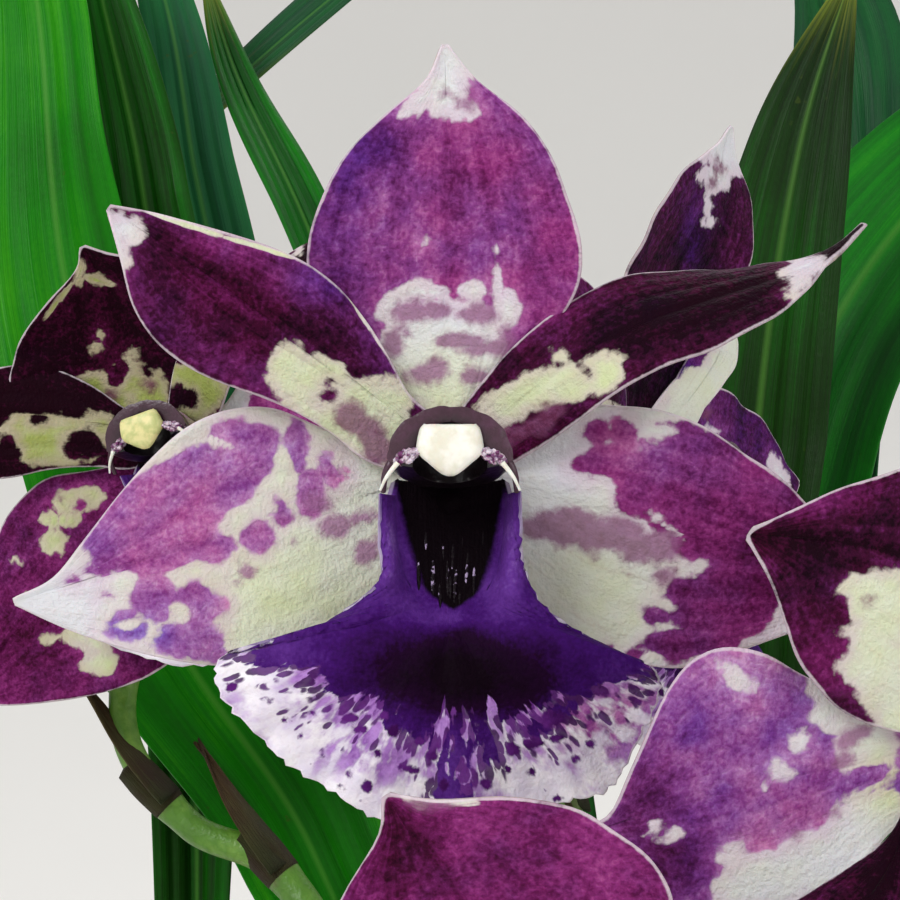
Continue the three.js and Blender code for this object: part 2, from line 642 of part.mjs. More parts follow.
function spikeSolid(spike) {
  const pieces = [tubeSolid(spike.points, spike.radii, 16, 6)];
  for (const { bloom: bloomName, joins: share, sag } of spike.stalklets) {
    const bloom = blooms.find((b) => b.name === bloomName);
    const back = new THREE.Vector3(0, 0, -1).applyMatrix4(bloomTurn(bloom));
    const centre = new THREE.Vector3(...bloom.centre);
    const end = centre.clone().addScaledVector(back, bloomBack + gap);
    const near = centre.clone().addScaledVector(back, bloomBack + 9);
    near.z -= 2;
    const start = pointAlong(spike.points, share);
    const middle = start.clone().lerp(near, 0.5);
    middle.z += sag;
    const route = [start, middle, near, end].map((p) => p.toArray());
    pieces.push(tubeSolid(route, [1.1, 1.1, 1.5, 1.9], 5, 5));
    pieces.push(bractSolid(start, tangentAlong(spike.points, share), 9, 5, 1.6));
  }
  for (const share of spike.sheaths) {
    const at = pointAlong(spike.points, share);
    pieces.push(bractSolid(at, tangentAlong(spike.points, share), 18, 6, 2));
  }
  for (const [x, y, z, radius, half] of spike.buds)
    pieces.push(ballSolid([radius, radius, half], [x, y, z], 8));
  return mainBody(fuse(pieces));
}

// Bark: a fill with chips lying in its surface, and a hole for each bulb and stalk that stands in it
function barkSolid(standing) {
  const slope = (pot.topRadius - pot.footRadius) / pot.height;
  const inner = (z) => pot.footRadius + slope * z - pot.wall - 2 * gap;
  const low = pot.floor + gap;
  const outline = [
    [0, low],
    [inner(low) - 4, low],
    [inner(low), low + 4],
    [inner(bark.level), bark.level],
    [0, bark.level + 2],
  ];
  const fill = new THREE.LatheGeometry(outline.map((p) => new THREE.Vector2(...p)), 28);
  fill.rotateX(Math.PI / 2);
  const pieces = [solidOf(fill)];
  const golden = Math.PI * (3 - Math.sqrt(5));
  for (let k = 0; k < bark.chips; k++) {
    const r = (inner(bark.level) - 10) * Math.sqrt((k + 0.5) / bark.chips);
    const turn = k * golden;
    const random = (channel) => chance(bark.seed, k, channel);
    const size = [bark.length, bark.width, bark.height].map((side, i) => side * (1 + 0.25 * random(i)));
    const chip = new THREE.BoxGeometry(...size);
    chip.rotateX(0.35 * random(4));
    chip.rotateY(0.35 * random(5));
    chip.rotateZ(Math.PI * random(6));
    chip.translate(r * Math.cos(turn), r * Math.sin(turn), bark.level + bark.sink + random(7));
    pieces.push(solidOf(chip));
  }
  let whole = fuse(pieces);
  for (const piece of standing) whole = whole.subtract(piece);
  return mainBody(whole);
}

addNode("clay_pot", potSolid(), clay);
const standing = bulbs.map((bulb) => bulbSolid(bulb, gap));
for (const spike of spikes) {
  const room = spike.radii[0] + 2 * gap;
  standing.push(tubeSolid(spike.points.slice(0, 3), [room, room], 6, 10).translate([0, 0, -2 * gap]));
}
addNode("bark_mix", barkSolid(standing), chips);
for (const bulb of bulbs) addNode(bulb.name, bulbSolid(bulb), bulbGreen);
for (const leaf of leaves) addNode(leaf.name, leafSolid(leaf), leafGreen);
for (const spike of spikes) addNode(spike.name, spikeSolid(spike), stemGreen);
for (const bloom of blooms) addBloom(bloom);

export default plant;
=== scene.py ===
import math

import bpy
import numpy as np
from mathutils import Matrix, Vector


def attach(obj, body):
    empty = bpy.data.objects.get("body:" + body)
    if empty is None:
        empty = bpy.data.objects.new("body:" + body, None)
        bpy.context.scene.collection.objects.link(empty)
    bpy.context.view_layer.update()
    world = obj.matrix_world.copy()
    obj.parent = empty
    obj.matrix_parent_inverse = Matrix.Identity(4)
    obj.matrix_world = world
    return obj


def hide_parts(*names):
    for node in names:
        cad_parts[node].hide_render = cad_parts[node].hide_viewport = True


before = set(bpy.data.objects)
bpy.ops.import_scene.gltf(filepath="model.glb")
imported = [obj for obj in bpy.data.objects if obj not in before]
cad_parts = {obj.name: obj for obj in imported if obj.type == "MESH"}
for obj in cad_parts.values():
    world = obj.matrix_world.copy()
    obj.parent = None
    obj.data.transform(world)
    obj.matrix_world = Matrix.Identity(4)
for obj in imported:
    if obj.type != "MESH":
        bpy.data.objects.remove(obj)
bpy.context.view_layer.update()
mm = 0.001
print("frame loaded with", len(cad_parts), "nodes")

# The camera stands where the photograph was taken, close in front of the main bloom
photoView = {"eye": (0.0, -0.24, 0.2992), "lens": 90, "sensor": 36, "pixels": 900}


# Numbers that look random but are the same in every run, from -1 to 1
def chance(*keys):
    mixed = 0.5
    for i, key in enumerate(keys):
        mixed += key * (12.9898 + 65.233 * i)
    wide = math.sin(mixed) * 43758.5453
    return 2 * (wide - math.floor(wide)) - 1


# Smooth value at s, from 0 to 1, of a list of evenly spaced values or points
def along(values, s):
    values = np.asarray(values, float)
    padded = np.concatenate([[2 * values[0] - values[1]], values, [2 * values[-1] - values[-2]]])
    last = len(values) - 1
    place = np.clip(s, 0, 1) * last
    i = np.minimum(np.floor(place).astype(int), last - 1)
    f = place - i
    if values.ndim > 1:
        f = f[..., None]
    before, a, b, after = padded[i], padded[i + 1], padded[i + 2], padded[i + 3]
    f2 = f * f
    f3 = f2 * f
    curve = a * (2 * f3 - 3 * f2 + 1) + b * (3 * f2 - 2 * f3)
    return curve + (b - before) / 2 * (f3 - 2 * f2 + f) + (after - a) / 2 * (f3 - f2)


def unit(vectors):
    return vectors / np.maximum(np.linalg.norm(vectors, axis=-1, keepdims=True), 1e-9)


def tangentAlong(points, s):
    step = 0.004
    return unit(along(points, np.minimum(s + step, 1)) - along(points, np.maximum(s - step, 0)))


# Side and face directions of a blade's spine, turned about it by roll degrees
def spineFrame(points, s, towards, roll):
    tangent = tangentAlong(points, s)
    face = unit(np.asarray(towards, float) - (tangent @ towards)[..., None] * tangent)
    side = np.cross(tangent, face)
    turn = np.radians(roll)[..., None]
    return side * np.cos(turn) + face * np.sin(turn), face * np.cos(turn) - side * np.sin(turn)


def turnMatrix(axis, degrees):
    return np.array(Matrix.Rotation(math.radians(degrees), 3, axis))


def placeObject(name, data):
    item = bpy.data.objects.new(name, data)
    bpy.context.scene.collection.objects.link(item)
    return item


def roundAngles(sides):
    return 2 * np.pi * np.arange(sides) / sides


# Point numbers of closed rings that follow each other, and the faces between the rings. The faces look away
# from the rings' axis where the rings climb, or towards it if they are flipped.
def ringFaces(rings, sides, flipped=False):
    grid = np.arange(rings * sides).reshape(rings, sides)
    ahead = np.roll(grid, -1, axis=1)
    corners = [grid[:-1], ahead[:-1], ahead[1:], grid[1:]]
    if flipped:
        corners = [corners[0], corners[3], corners[2], corners[1]]
    return grid, ahead, [tuple(face) for face in np.stack(corners, -1).reshape(-1, 4).tolist()]


# Shapes are dictionaries of points in millimetres, faces, a uv for each point and named marks for each point
def makeShape(points, faces, uv=None, **marks):
    uv = np.zeros((len(points), 2)) if uv is None else uv
    return {"points": np.asarray(points, float), "faces": faces, "uv": uv, "marks": marks}


def joinShapes(shapes):
    names = sorted({name for shape in shapes for name in shape["marks"]})
    start = 0
    faces = []
    for shape in shapes:
        faces += [tuple(start + v for v in face) for face in shape["faces"]]
        start += len(shape["points"])
    marks = {}
    for name in names:
        parts = [shape["marks"].get(name, np.zeros(len(shape["points"]))) for shape in shapes]
        marks[name] = np.concatenate([np.broadcast_to(p, len(s["points"])) for p, s in zip(parts, shapes)])
    points = np.concatenate([shape["points"] for shape in shapes])
    return makeShape(points, faces, np.concatenate([shape["uv"] for shape in shapes]), **marks)


def moveShape(shape, turn=np.eye(3), centre=(0, 0, 0)):
    shape["points"] = shape["points"] @ np.asarray(turn).T + np.asarray(centre, float)
    return shape


# A closed thin solid round the surface point(s, t), s from 0 to 1 along it and t from -1 to 1 across it.
# Its thickness and its marks are numbers or functions of s and t, rounding is how far its rim stands out,
# and its mark reverse is 1 on the face that looks away from z.
def bladeShape(point, rows, cols, thick, rounding=0.12, **marks):
    s, t = np.meshgrid(np.linspace(0, 1, rows + 1), np.linspace(-1, 1, cols + 1), indexing="ij")
    valueAt = lambda mark: mark(s, t) if callable(mark) else np.full(s.shape, float(mark))
    step = 1e-3
    lengthways = point(np.minimum(s + step, 1), t) - point(np.maximum(s - step, 0), t)
    across = point(s, np.minimum(t + step, 1)) - point(s, np.maximum(t - step, -1))
    normal = unit(np.cross(lengthways, across))
    middle = point(s, t)
    half = valueAt(thick)[..., None] / 2
    count = (rows + 1) * (cols + 1)
    grid = np.arange(count).reshape(rows + 1, cols + 1)
    quads = np.stack([grid[:-1, :-1], grid[1:, :-1], grid[1:, 1:], grid[:-1, 1:]], -1).reshape(-1, 4)
    rim = np.concatenate([grid[0, :-1], grid[:-1, -1], grid[-1, :0:-1], grid[:0:-1, 0]])
    outward = np.zeros_like(middle)
    outward[0] -= unit(middle[1] - middle[0])
    outward[-1] += unit(middle[-1] - middle[-2])
    outward[:, 0] -= unit(middle[:, 1] - middle[:, 0])
    outward[:, -1] += unit(middle[:, -1] - middle[:, -2])
    flat = lambda values: values.reshape(count, -1)
    edge = (flat(middle) + rounding * unit(flat(outward)))[rim]
    points = np.concatenate([flat(middle + normal * half), flat(middle - normal * half), edge])
    onward = np.roll(rim, -1)
    ring = 2 * count + np.arange(len(rim))
    nextRing = np.roll(ring, -1)
    upper = np.stack([rim, onward, nextRing, ring], -1)
    lower = np.stack([ring, nextRing, onward + count, rim + count], -1)
    faces = np.concatenate([quads, quads[:, ::-1] + count, upper, lower])
    spread = lambda values: np.concatenate([values.ravel(), values.ravel(), values.ravel()[rim]])
    side = np.concatenate([np.ones(count), -np.ones(count), np.zeros(len(rim))])
    uv = np.stack([spread(t / 2 + 0.5), spread(s)], -1)
    evaluated = {name: spread(valueAt(mark)) for name, mark in marks.items()}
    away = np.sign(flat(normal)[:, 2].mean())
    return makeShape(points, [tuple(f) for f in faces.tolist()], uv, reverse=(1 - away * side) / 2, **evaluated)


# A closed tube along points, with radii and a few lengthwise grooves; both ends close in a point
def tubeShape(points, radii, steps, sides, grooves=0, depth=0.0, **marks):
    s = np.linspace(0, 1, steps + 1)
    tangent = tangentAlong(points, s)
    side = np.zeros((steps + 1, 3))
    last = np.array([1.0, 0.0, 0.0])
    for i in range(steps + 1):
        last = unit(last - (last @ tangent[i]) * tangent[i])
        side[i] = last
    up = np.cross(tangent, side)
    turn = roundAngles(sides)
    radius = along(radii, s)[:, None] * (1 + depth * np.cos(grooves * turn))
    spokes = side[:, None] * np.cos(turn)[None, :, None] + up[:, None] * np.sin(turn)[None, :, None]
    rings = along(points, s)[:, None] + spokes * radius[..., None]
    grid, ahead, faces = ringFaces(steps + 1, sides)
    ends = along(points, np.array([0.0, 1.0])) + tangent[[0, -1]] * along(radii, s)[[0, -1], None] * [[-0.4], [0.4]]
    start = (steps + 1) * sides
    faces += [(start, ahead[0, k], grid[0, k]) for k in range(sides)]
    faces += [(start + 1, grid[-1, k], ahead[-1, k]) for k in range(sides)]
    reach = np.concatenate([np.repeat(s, sides), [0, 1]])
    uv = np.stack([np.concatenate([np.tile(np.abs(turn / np.pi - 1), steps + 1), [0, 0]]), reach], -1)
    return makeShape(np.concatenate([rings.reshape(-1, 3), ends]), faces, uv, **marks)


# A closed ball, its poles on z
def ballShape(radii, centre, rows=12, sides=20, **marks):
    tilt = np.pi * np.arange(1, rows) / rows
    turn = roundAngles(sides)
    ring = np.stack(np.broadcast_arrays(np.sin(tilt)[:, None] * np.cos(turn), np.sin(tilt)[:, None] * np.sin(turn),
                                        np.cos(tilt)[:, None]), -1).reshape(-1, 3)
    points = np.concatenate([ring, [[0, 0, 1], [0, 0, -1]]]) * radii + centre
    grid, ahead, faces = ringFaces(rows - 1, sides, flipped=True)
    top = (rows - 1) * sides
    faces += [(top, grid[0, k], ahead[0, k]) for k in range(sides)]
    faces += [(top + 1, ahead[-1, k], grid[-1, k]) for k in range(sides)]
    return makeShape(points, faces, **marks)


def setMark(mesh, label, values):
    mark = mesh.attributes.new(label, "FLOAT", "POINT")
    mark.data.foreach_set("value", np.broadcast_to(values, len(mesh.vertices)).astype(np.float32))


# Makes a Blender object of a shape, at the origin, with its uv map and its marks as attributes
def meshObject(name, shape, material):
    mesh = bpy.data.meshes.new(name)
    mesh.from_pydata((shape["points"] * mm).tolist(), [], shape["faces"])
    corner = np.empty(len(mesh.loops), np.int32)
    mesh.loops.foreach_get("vertex_index", corner)
    layer = mesh.uv_layers.new(name="blade")
    layer.data.foreach_set("uv", shape["uv"][corner].astype(np.float32).ravel())
    for label, values in shape["marks"].items():
        setMark(mesh, label, values)
    mesh.shade_smooth()
    mesh.materials.append(material)
    return placeObject(name, mesh)


def finishPiece(piece, slotName, *nodes):
    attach(piece, "root")
    if nodes:
        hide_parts(*nodes)


def addPiece(name, shape, finish, slotName, *nodes):
    finishPiece(meshObject(name, shape, finishes[finish]), slotName, *nodes)


# Colours are written as the eye sees them, and given to the shaders as linear light
def tint(code):
    parts = [int(code[i:i + 2], 16) / 255 for i in (1, 3, 5)]
    return tuple(c / 12.92 if c <= 0.04045 else ((c + 0.055) / 1.055) ** 2.4 for c in parts) + (1.0,)


class NodeTree:
    def add(self, kind, inputs=(), **settings):
        node = self.tree.nodes.new(kind)
        for label, value in settings.items():
            setattr(node, label, value)
        for key, value in dict(inputs).items():
            self.plug(node.inputs[key], value)
        return node

    def plug(self, socket, value):
        if isinstance(value, bpy.types.NodeSocket):
            self.tree.links.new(value, socket)
        else:
            socket.default_value = tint(value) if str(value).startswith("#") else value

    def math(self, operation, a, b=0.0):
        return self.add("ShaderNodeMath", {0: a, 1: b}, operation=operation).outputs[0]

    def times(self, a, b):
        return self.math("MULTIPLY", a, b)


# One material's node tree, with a short call for each kind of node that this script uses
class Finish(NodeTree):
    def __init__(self, name, **constants):
        self.material = bpy.data.materials.new(name)
        self.material.use_nodes = True
        self.tree = self.material.node_tree
        self.shader = self.tree.nodes["Principled BSDF"]
        for label, value in constants.items():
            self.shader.inputs[label.replace("_", " ")].default_value = value
        self.place = self.add("ShaderNodeTexCoord").outputs["Object"]

    def mark(self, name):
        return self.add("ShaderNodeAttribute", attribute_name=name).outputs["Fac"]

    # Noise of that many cells per metre, as a value from about -1 to 1
    def noise(self, scale, detail=2.0, vector=None, rough=0.5):
        vector = self.place if vector is None else vector
        node = self.add("ShaderNodeTexNoise", {"Vector": vector, "Scale": scale, "Detail": detail,
                                               "Roughness": rough})
        return self.remap(node.outputs["Fac"], 0.25, 0.75, -1.0, 1.0, smooth=False)

    def remap(self, value, low, high, toLow=0.0, toHigh=1.0, smooth=True):
        node = self.add("ShaderNodeMapRange", {"Value": value, "From Min": low, "From Max": high,
                                               "To Min": toLow, "To Max": toHigh})
        node.interpolation_type = "SMOOTHSTEP" if smooth else "LINEAR"
        return node.outputs["Result"]

    def mix(self, share, a, b, kind="MIX"):
        node = self.add("ShaderNodeMix", data_type="RGBA", blend_type=kind)
        for index, value in ((0, share), (6, a), (7, b)):
            self.plug(node.inputs[index], value)
        return node.outputs[2]

    def ramp(self, value, *stops):
        node = self.add("ShaderNodeValToRGB", {"Fac": value})
        band = node.color_ramp
        for place, colour in stops[2:]:
            band.elements.new(place)
        for element, (place, colour) in zip(band.elements, sorted(stops)):
            element.position = place
            element.color = tint(colour)
        return node.outputs["Color"]

    # Noises, each times the amount that follows it, added to a value
    def stir(self, value, *noises):
        for noise, amount in zip(noises[::2], noises[1::2]):
            value = self.add("ShaderNodeMath", {0: noise, 1: amount, 2: value}, operation="MULTIPLY_ADD").outputs[0]
        return value

    def bump(self, height, strength, distance):
        node = self.add("ShaderNodeBump", {"Height": height, "Strength": strength, "Distance": distance})
        self.plug(self.shader.inputs["Normal"], node.outputs["Normal"])

    def colour(self, value):
        self.plug(self.shader.inputs["Base Color"], value)

    def uv(self):
        place = self.add("ShaderNodeUVMap", uv_map="blade").outputs["UV"]
        node = self.add("ShaderNodeSeparateXYZ", {"Vector": place})
        return node.outputs["X"], node.outputs["Y"]

    # Place for noise that runs along a blade, that many cells wide and long, other for each piece
    def grainPlace(self, wide, long):
        across, lengthwise = self.uv()
        return self.add("ShaderNodeCombineXYZ", {"X": self.times(across, wide), "Y": self.math(
            "MULTIPLY", lengthwise, long), "Z": self.mark("piece")}).outputs[0]


# Velvety tepals: purple over cream, in blotches whose place is in the marks pale and freckle, in mm.
# deep darkens the purple from mauve to maroon, partly as its own tone and partly as painted shade, blue turns it
# violet and below 0 crimson, green turns white to cream green, vein is a tepal's lengthwise creases, along which
# the purple is darkened as painted shade, rim is the way to the edge.
def tepalFinish():
    f = Finish("tepalVelvet", Roughness=0.6, Sheen_Weight=0.015, Sheen_Roughness=0.4,
               Specular_IOR_Level=0.04, Subsurface_Weight=0.05, Subsurface_Scale=0.001)
    grain = f.noise(2900, 2)
    crinkle = f.noise(1250, 4, rough=0.62)
    lobe = f.noise(430, 2)
    cloud = f.noise(120, 3)
    streak = f.noise(1.0, 3, f.grainPlace(30, 2.6))
    crease = f.mark("vein")
    field = f.stir(f.mark("pale"), lobe, 0.62, crinkle, 0.2, streak, 0.12)
    cover = f.remap(f.stir(field, grain, 0.08), -0.24, 0.28)
    nearEdge = f.remap(field, -1.6, 0.1)
    # deep: the purple's own depth together with painted shade, and painted light where spots are negative
    deep = f.stir(f.mark("deep"), cloud, 0.12, lobe, 0.05, crinkle, 0.15, grain, 0.11)
    # painted shade: the purple darkens along the creases, where the vein mark is high
    deep = f.stir(deep, nearEdge, -0.1, crease, 0.16, streak, 0.08)
    purple = f.ramp(deep, (0.0, "#bf93bd"), (1.0, "#190210"), (0.2, "#a2659f"), (0.4, "#823c80"), (0.6, "#5f2059"),
                    (0.8, "#3c0c2e"))
    hue = f.stir(f.mark("blue"), cloud, 0.34, lobe, 0.2)
    rosy = f.mix(f.remap(hue, 0.3, -0.3, 0.0, 0.75), purple, "#ffaccf", kind="MULTIPLY")
    violet = f.mix(f.remap(hue, 0.05, 1.0), rosy, "#a9b2ff", kind="MULTIPLY")
    ground = f.ramp(f.times(f.stir(f.mark("green"), lobe, 0.14, cloud, 0.1), 0.5),
                    (0.0, "#d4d4d9"), (1.0, "#7f8c3e"), (0.25, "#d3d6c4"), (0.5, "#c8d19e"), (0.75, "#98a258"))
    ground = f.mix(f.remap(f.stir(streak, crinkle, 0.8), 0.1, 1.4, 0.0, 0.22), ground, "#b59c8a")
    ground = f.mix(f.remap(f.stir(field, cloud, 0.7), 0.1, 1.8, 0.34, 0.0), ground, "#c193b4")
    colour = f.mix(cover, violet, ground)
    dusk = f.mix(f.stir(f.mark("deep"), crinkle, 0.3), "#a06a97", "#683050")
    spot = f.stir(f.mark("freckle"), lobe, 0.7, crinkle, 0.32, grain, 0.12)
    colour = f.mix(f.remap(spot, -0.55, 0.6, 0.0, 0.84), colour, dusk)
    margin = f.stir(f.mark("rim"), crinkle, 0.06, lobe, 0.06, cloud, 0.07)
    colour = f.mix(f.remap(margin, 0.0, 0.16, 0.7, 0.0), colour, "#d9cbd4")
    back = f.remap(f.mark("reverse"), 0.4, 0.6)
    reverse = f.mix(f.remap(f.stir(crinkle, cloud, 0.8), -1.0, 1.0), "#a9a47e", "#8a6a7c")
    colour = f.mix(f.times(back, f.stir(0.5, cloud, 0.15)), colour, reverse)
    f.colour(colour)
    height = f.stir(f.times(grain, 0.3), crinkle, 0.5, streak, 0.25)
    f.bump(height, 0.5, 0.00026)
    return f.material


# Lip: a black violet heart that breaks up into dots and a lilac haze towards a white margin
def lipFinish():
    f = Finish("lipVelvet", Roughness=0.6, Sheen_Weight=0.01, Sheen_Roughness=0.5,
               Specular_IOR_Level=0.03, Subsurface_Weight=0.05, Subsurface_Scale=0.0008)
    grain = f.noise(3000, 2)
    mottle = f.noise(420, 3)
    crinkle = f.noise(1300, 4, rough=0.6)
    fan = f.grainPlace(100, 13)
    streak = f.noise(0.32, 3, fan)
    knot = f.noise(1.0, 3, fan)
    heart = f.stir(f.mark("heart"), streak, 1.0, knot, 0.6, crinkle, 0.2)
    dark = f.remap(heart, -0.14, 0.18)
    tone = f.stir(f.mark("deep"), mottle, 0.09, grain, 0.06)
    core = f.ramp(tone, (0.0, "#8f6ab4"), (1.0, "#0c010b"), (0.25, "#5c2f86"), (0.5, "#3b1060"), (0.75, "#1c0322"))
    haze = f.remap(f.stir(f.mark("white"), streak, 1.6, knot, 1.2), -1.6, 1.6)
    lilac = f.mix(f.remap(f.stir(knot, crinkle, 0.5), -1.0, 1.0), "#b084c9", "#71348c")
    lilac = f.mix(f.mark("rosy"), lilac, f.mix(f.remap(crinkle, -0.6, 0.6), "#b06aa6", "#863c86"))
    white = f.mix(f.remap(mottle, -0.6, 0.8), "#ebe6ec", "#d6cddf")
    lilac = f.mix(f.remap(f.stir(streak, knot, 0.9), -0.35, 0.6, 0.0, 0.92), lilac, white)
    colour = f.mix(haze, lilac, white)
    cells = f.add("ShaderNodeTexVoronoi", {"Vector": f.add("ShaderNodeVectorMath", {0: fan, 1: f.add(
        "ShaderNodeCombineXYZ", {"X": f.times(knot, 0.3), "Y": f.times(streak, 0.3)}).outputs[0]},
        operation="ADD").outputs[0], "Scale": 1.0, "Randomness": 0.9}, feature="F1")
    picked = f.add("ShaderNodeSeparateColor", {"Color": cells.outputs["Color"]}).outputs["Red"]
    size = f.stir(f.remap(heart, -3.6, 0.2, 0.0, 0.62, smooth=False), picked, 0.16)
    dots = f.remap(f.math("SUBTRACT", size, cells.outputs["Distance"]), -0.05, 0.08)
    ink = f.mix(f.remap(mottle, -0.5, 0.5), "#3a0d4c", "#5a2172")
    colour = f.mix(f.times(dots, 0.93), colour, ink)
    colour = f.mix(dark, colour, core)
    spot = f.remap(f.stir(f.mark("freckle"), knot, 0.22, grain, 0.1), -0.14, 0.16)
    colour = f.mix(spot, colour, ink)
    margin = f.remap(f.stir(f.mark("rim"), crinkle, 0.08), 0.05, 0.2, 0.6, 0.0)
    colour = f.mix(f.times(margin, f.mark("fringe")), colour, "#e9e3ea")
    # throat: nearly black, partly the callus's own colour and partly painted shade in the throat and on the claw
    throat = f.remap(f.stir(f.mark("throat"), crinkle, 0.12), -0.3, 0.3)
    colour = f.mix(throat, colour, "#070105")
    back = f.remap(f.mark("reverse"), 0.4, 0.6)
    colour = f.mix(f.times(back, 0.4), colour, "#bdb0c8")
    f.colour(colour)
    f.bump(f.stir(f.times(grain, 0.25), crinkle, 0.35, streak, 0.4), 0.4, 0.00025)
    return f.material


# Column hood: waxy maroon, painted nearly black inside its hollow and along its lower front as painted shade
def columnFinish():
    f = Finish("columnWax", Roughness=0.32, Specular_IOR_Level=0.45, Coat_Weight=0.15, Coat_Roughness=0.3)
    grain = f.noise(2400, 2)
    mottle = f.noise(500, 3)
    skin = f.ramp(f.stir(0.45, mottle, 0.25, grain, 0.12), (0.0, "#2a121f"), (1.0, "#5b3350"), (0.5, "#3e2030"))
    # painted shade: the hollow mark turns the inside of the hood and its lower front nearly black
    colour = f.mix(f.remap(f.mark("hollow"), 0.1, 0.9), skin, "#0b0307")
    f.colour(colour)
    f.bump(grain, 0.2, 0.0001)
    return f.material


# Anther cap: ivory wax, a little yellow where the mark green says so
def capFinish():
    f = Finish("capWax", Roughness=0.42, Specular_IOR_Level=0.45, Subsurface_Weight=0.15, Subsurface_Scale=0.0008)
    mottle = f.noise(900, 3)
    ivory = f.mix(f.remap(mottle, -0.7, 0.8), "#f1efe9", "#e0dccd")
    f.colour(f.mix(f.mark("green"), ivory, f.mix(f.remap(mottle, -0.5, 0.6), "#e3d98c", "#b9c06a")))
    f.bump(mottle, 0.25, 0.0002)
    return f.material


# Wings of the column: crumpled dark violet tissue with pinkish-white patches, partly its own pale colour and partly
# painted highlights
def wingFinish():
    f = Finish("wingTissue", Roughness=0.35, Specular_IOR_Level=0.5, Subsurface_Weight=0.1, Subsurface_Scale=0.0006)
    crumple = f.noise(1500, 4)
    # pinkish white over dark violet by the crumple noise: partly the tissue's own pale colour, partly painted
    # highlights
    f.colour(f.mix(f.remap(crumple, -0.3, 0.35), "#e2d0de", "#6f2f66"))
    f.bump(crumple, 0.5, 0.0003)
    return f.material


# Callus ridges in the throat: glossy black violet, with pale lilac painted highlights along their crests
def callusFinish():
    f = Finish("callusGloss", Roughness=0.45, Specular_IOR_Level=0.12)
    grain = f.noise(2300, 3)
    # crest: painted highlights, pale lilac along each ridge's crest
    crest = f.remap(f.stir(f.mark("crest"), grain, 0.75), 0.85, 1.15)
    f.colour(f.mix(crest, "#0a0107", "#a592b4"))
    f.bump(grain, 0.4, 0.0002)
    return f.material


# Leaf blades: green between lengthwise veins, with dark ribs, a paler keel and older, yellower tips
def leafFinish():
    f = Finish("leafGloss", Roughness=0.4, Specular_IOR_Level=0.1, Subsurface_Weight=0.03,
               Subsurface_Scale=0.001)
    across, lengthwise = f.uv()
    strip = f.grainPlace(30, 2)
    vein = f.noise(1.0, 3, strip)
    fine = f.noise(4.4, 2, strip)
    broad = f.noise(0.22, 2, strip)
    cloud = f.noise(40, 3)
    grain = f.noise(1500, 3)
    shade = f.stir(f.mark("deep"), broad, 0.17, vein, 0.09, cloud, 0.16, fine, 0.06)
    green = f.ramp(f.stir(shade, grain, 0.03), (0.0, "#349009"), (1.0, "#091a02"), (0.25, "#127204"),
                   (0.5, "#0e5407"), (0.75, "#103406"))
    green = f.mix(f.mark("blue"), green, f.mix(0.6, green, "#27604a"))
    keel = f.remap(f.math("ABSOLUTE", f.math("SUBTRACT", across, 0.5)), 0.0, 0.035, 0.3, 0.0)
    green = f.mix(keel, green, "#5f9a3c")
    tip = f.remap(f.stir(f.mark("age"), cloud, 0.12, grain, 0.03), 0.8, 1.05)
    colour = f.mix(tip, green, f.mix(f.remap(fine, -0.6, 0.6), "#a67f42", "#5f4324"))
    yellow = f.remap(f.stir(f.mark("age"), vein, 0.15), 0.45, 1.0, 0.0, 0.55)
    colour = f.mix(f.times(yellow, f.math("SUBTRACT", 1.0, tip)), colour, "#8f9c36")
    speck = f.remap(f.stir(f.noise(700, 2), cloud, 0.5), 1.0, 1.3, 0.0, 0.45)
    colour = f.mix(speck, colour, "#3b4a14")
    foot = f.remap(lengthwise, 0.0, 0.14, 0.6, 0.0)
    colour = f.mix(foot, colour, "#93a75c")
    f.colour(colour)
    f.bump(f.stir(f.times(vein, 0.5), fine, 0.35, grain, 0.15), 0.25, 0.0004)
    return f.material


# Stalks: yellow green, flushed brown purple in patches and at the joints
def stalkFinish():
    f = Finish("stalkSkin", Roughness=0.42, Specular_IOR_Level=0.42, Subsurface_Weight=0.04, Subsurface_Scale=0.001)
    cloud = f.noise(90, 3)
    speck = f.noise(900, 3)
    green = f.ramp(f.stir(0.5, cloud, 0.25, speck, 0.12), (0.0, "#86ab4c"), (1.0, "#315716"), (0.5, "#527f28"))
    flush = f.remap(f.stir(f.mark("flush"), cloud, 0.25, speck, 0.15), 0.45, 1.0, 0.0, 0.75)
    f.colour(f.mix(flush, green, "#6b3f49"))
    f.bump(speck, 0.25, 0.0003)
    return f.material


# Papery sheaths of bulbs and stalks, dry straw where the mark fresh is 0, dark olive and brown where it is 1
def paperFinish():
    f = Finish("paperSheath", Roughness=0.72, Specular_IOR_Level=0.25)
    lengthwise = f.uv()[1]
    fibre = f.noise(1.0, 4, f.grainPlace(46, 2.5), 0.65)
    cloud = f.noise(160, 3)
    straw = f.ramp(f.stir(0.5, fibre, 0.3, cloud, 0.18), (0.0, "#d2b98a"), (1.0, "#5a3d22"), (0.35, "#b0905c"),
                   (0.7, "#84613a"))
    straw = f.mix(f.remap(lengthwise, 0.55, 1.0, 0.0, 0.45), straw, "#6b4a2c")
    olive = f.mix(f.remap(f.stir(cloud, fibre, 0.6), -0.6, 0.5), "#262e0d", "#26170b")
    f.colour(f.mix(f.mark("fresh"), straw, olive))
    f.bump(fibre, 0.7, 0.0006)
    return f.material


# Pseudobulbs: waxy green, yellower with age, with lengthwise wrinkles
def bulbFinish():
    f = Finish("bulbSkin", Roughness=0.4, Specular_IOR_Level=0.4, Subsurface_Weight=0.05, Subsurface_Scale=0.002)
    cloud = f.noise(70, 4)
    speck = f.noise(1100, 3)
    shade = f.stir(f.mark("deep"), cloud, 0.22, speck, 0.07)
    green = f.ramp(shade, (0.0, "#b9bd6a"), (1.0, "#40591f"), (0.35, "#8fa346"), (0.65, "#667f30"))
    scar = f.remap(f.stir(speck, cloud, 0.6), 0.75, 1.3, 0.0, 0.7)
    f.colour(f.mix(scar, green, "#6e5534"))
    f.bump(f.stir(f.times(speck, 0.4), cloud, 0.6), 0.3, 0.0006)
    return f.material
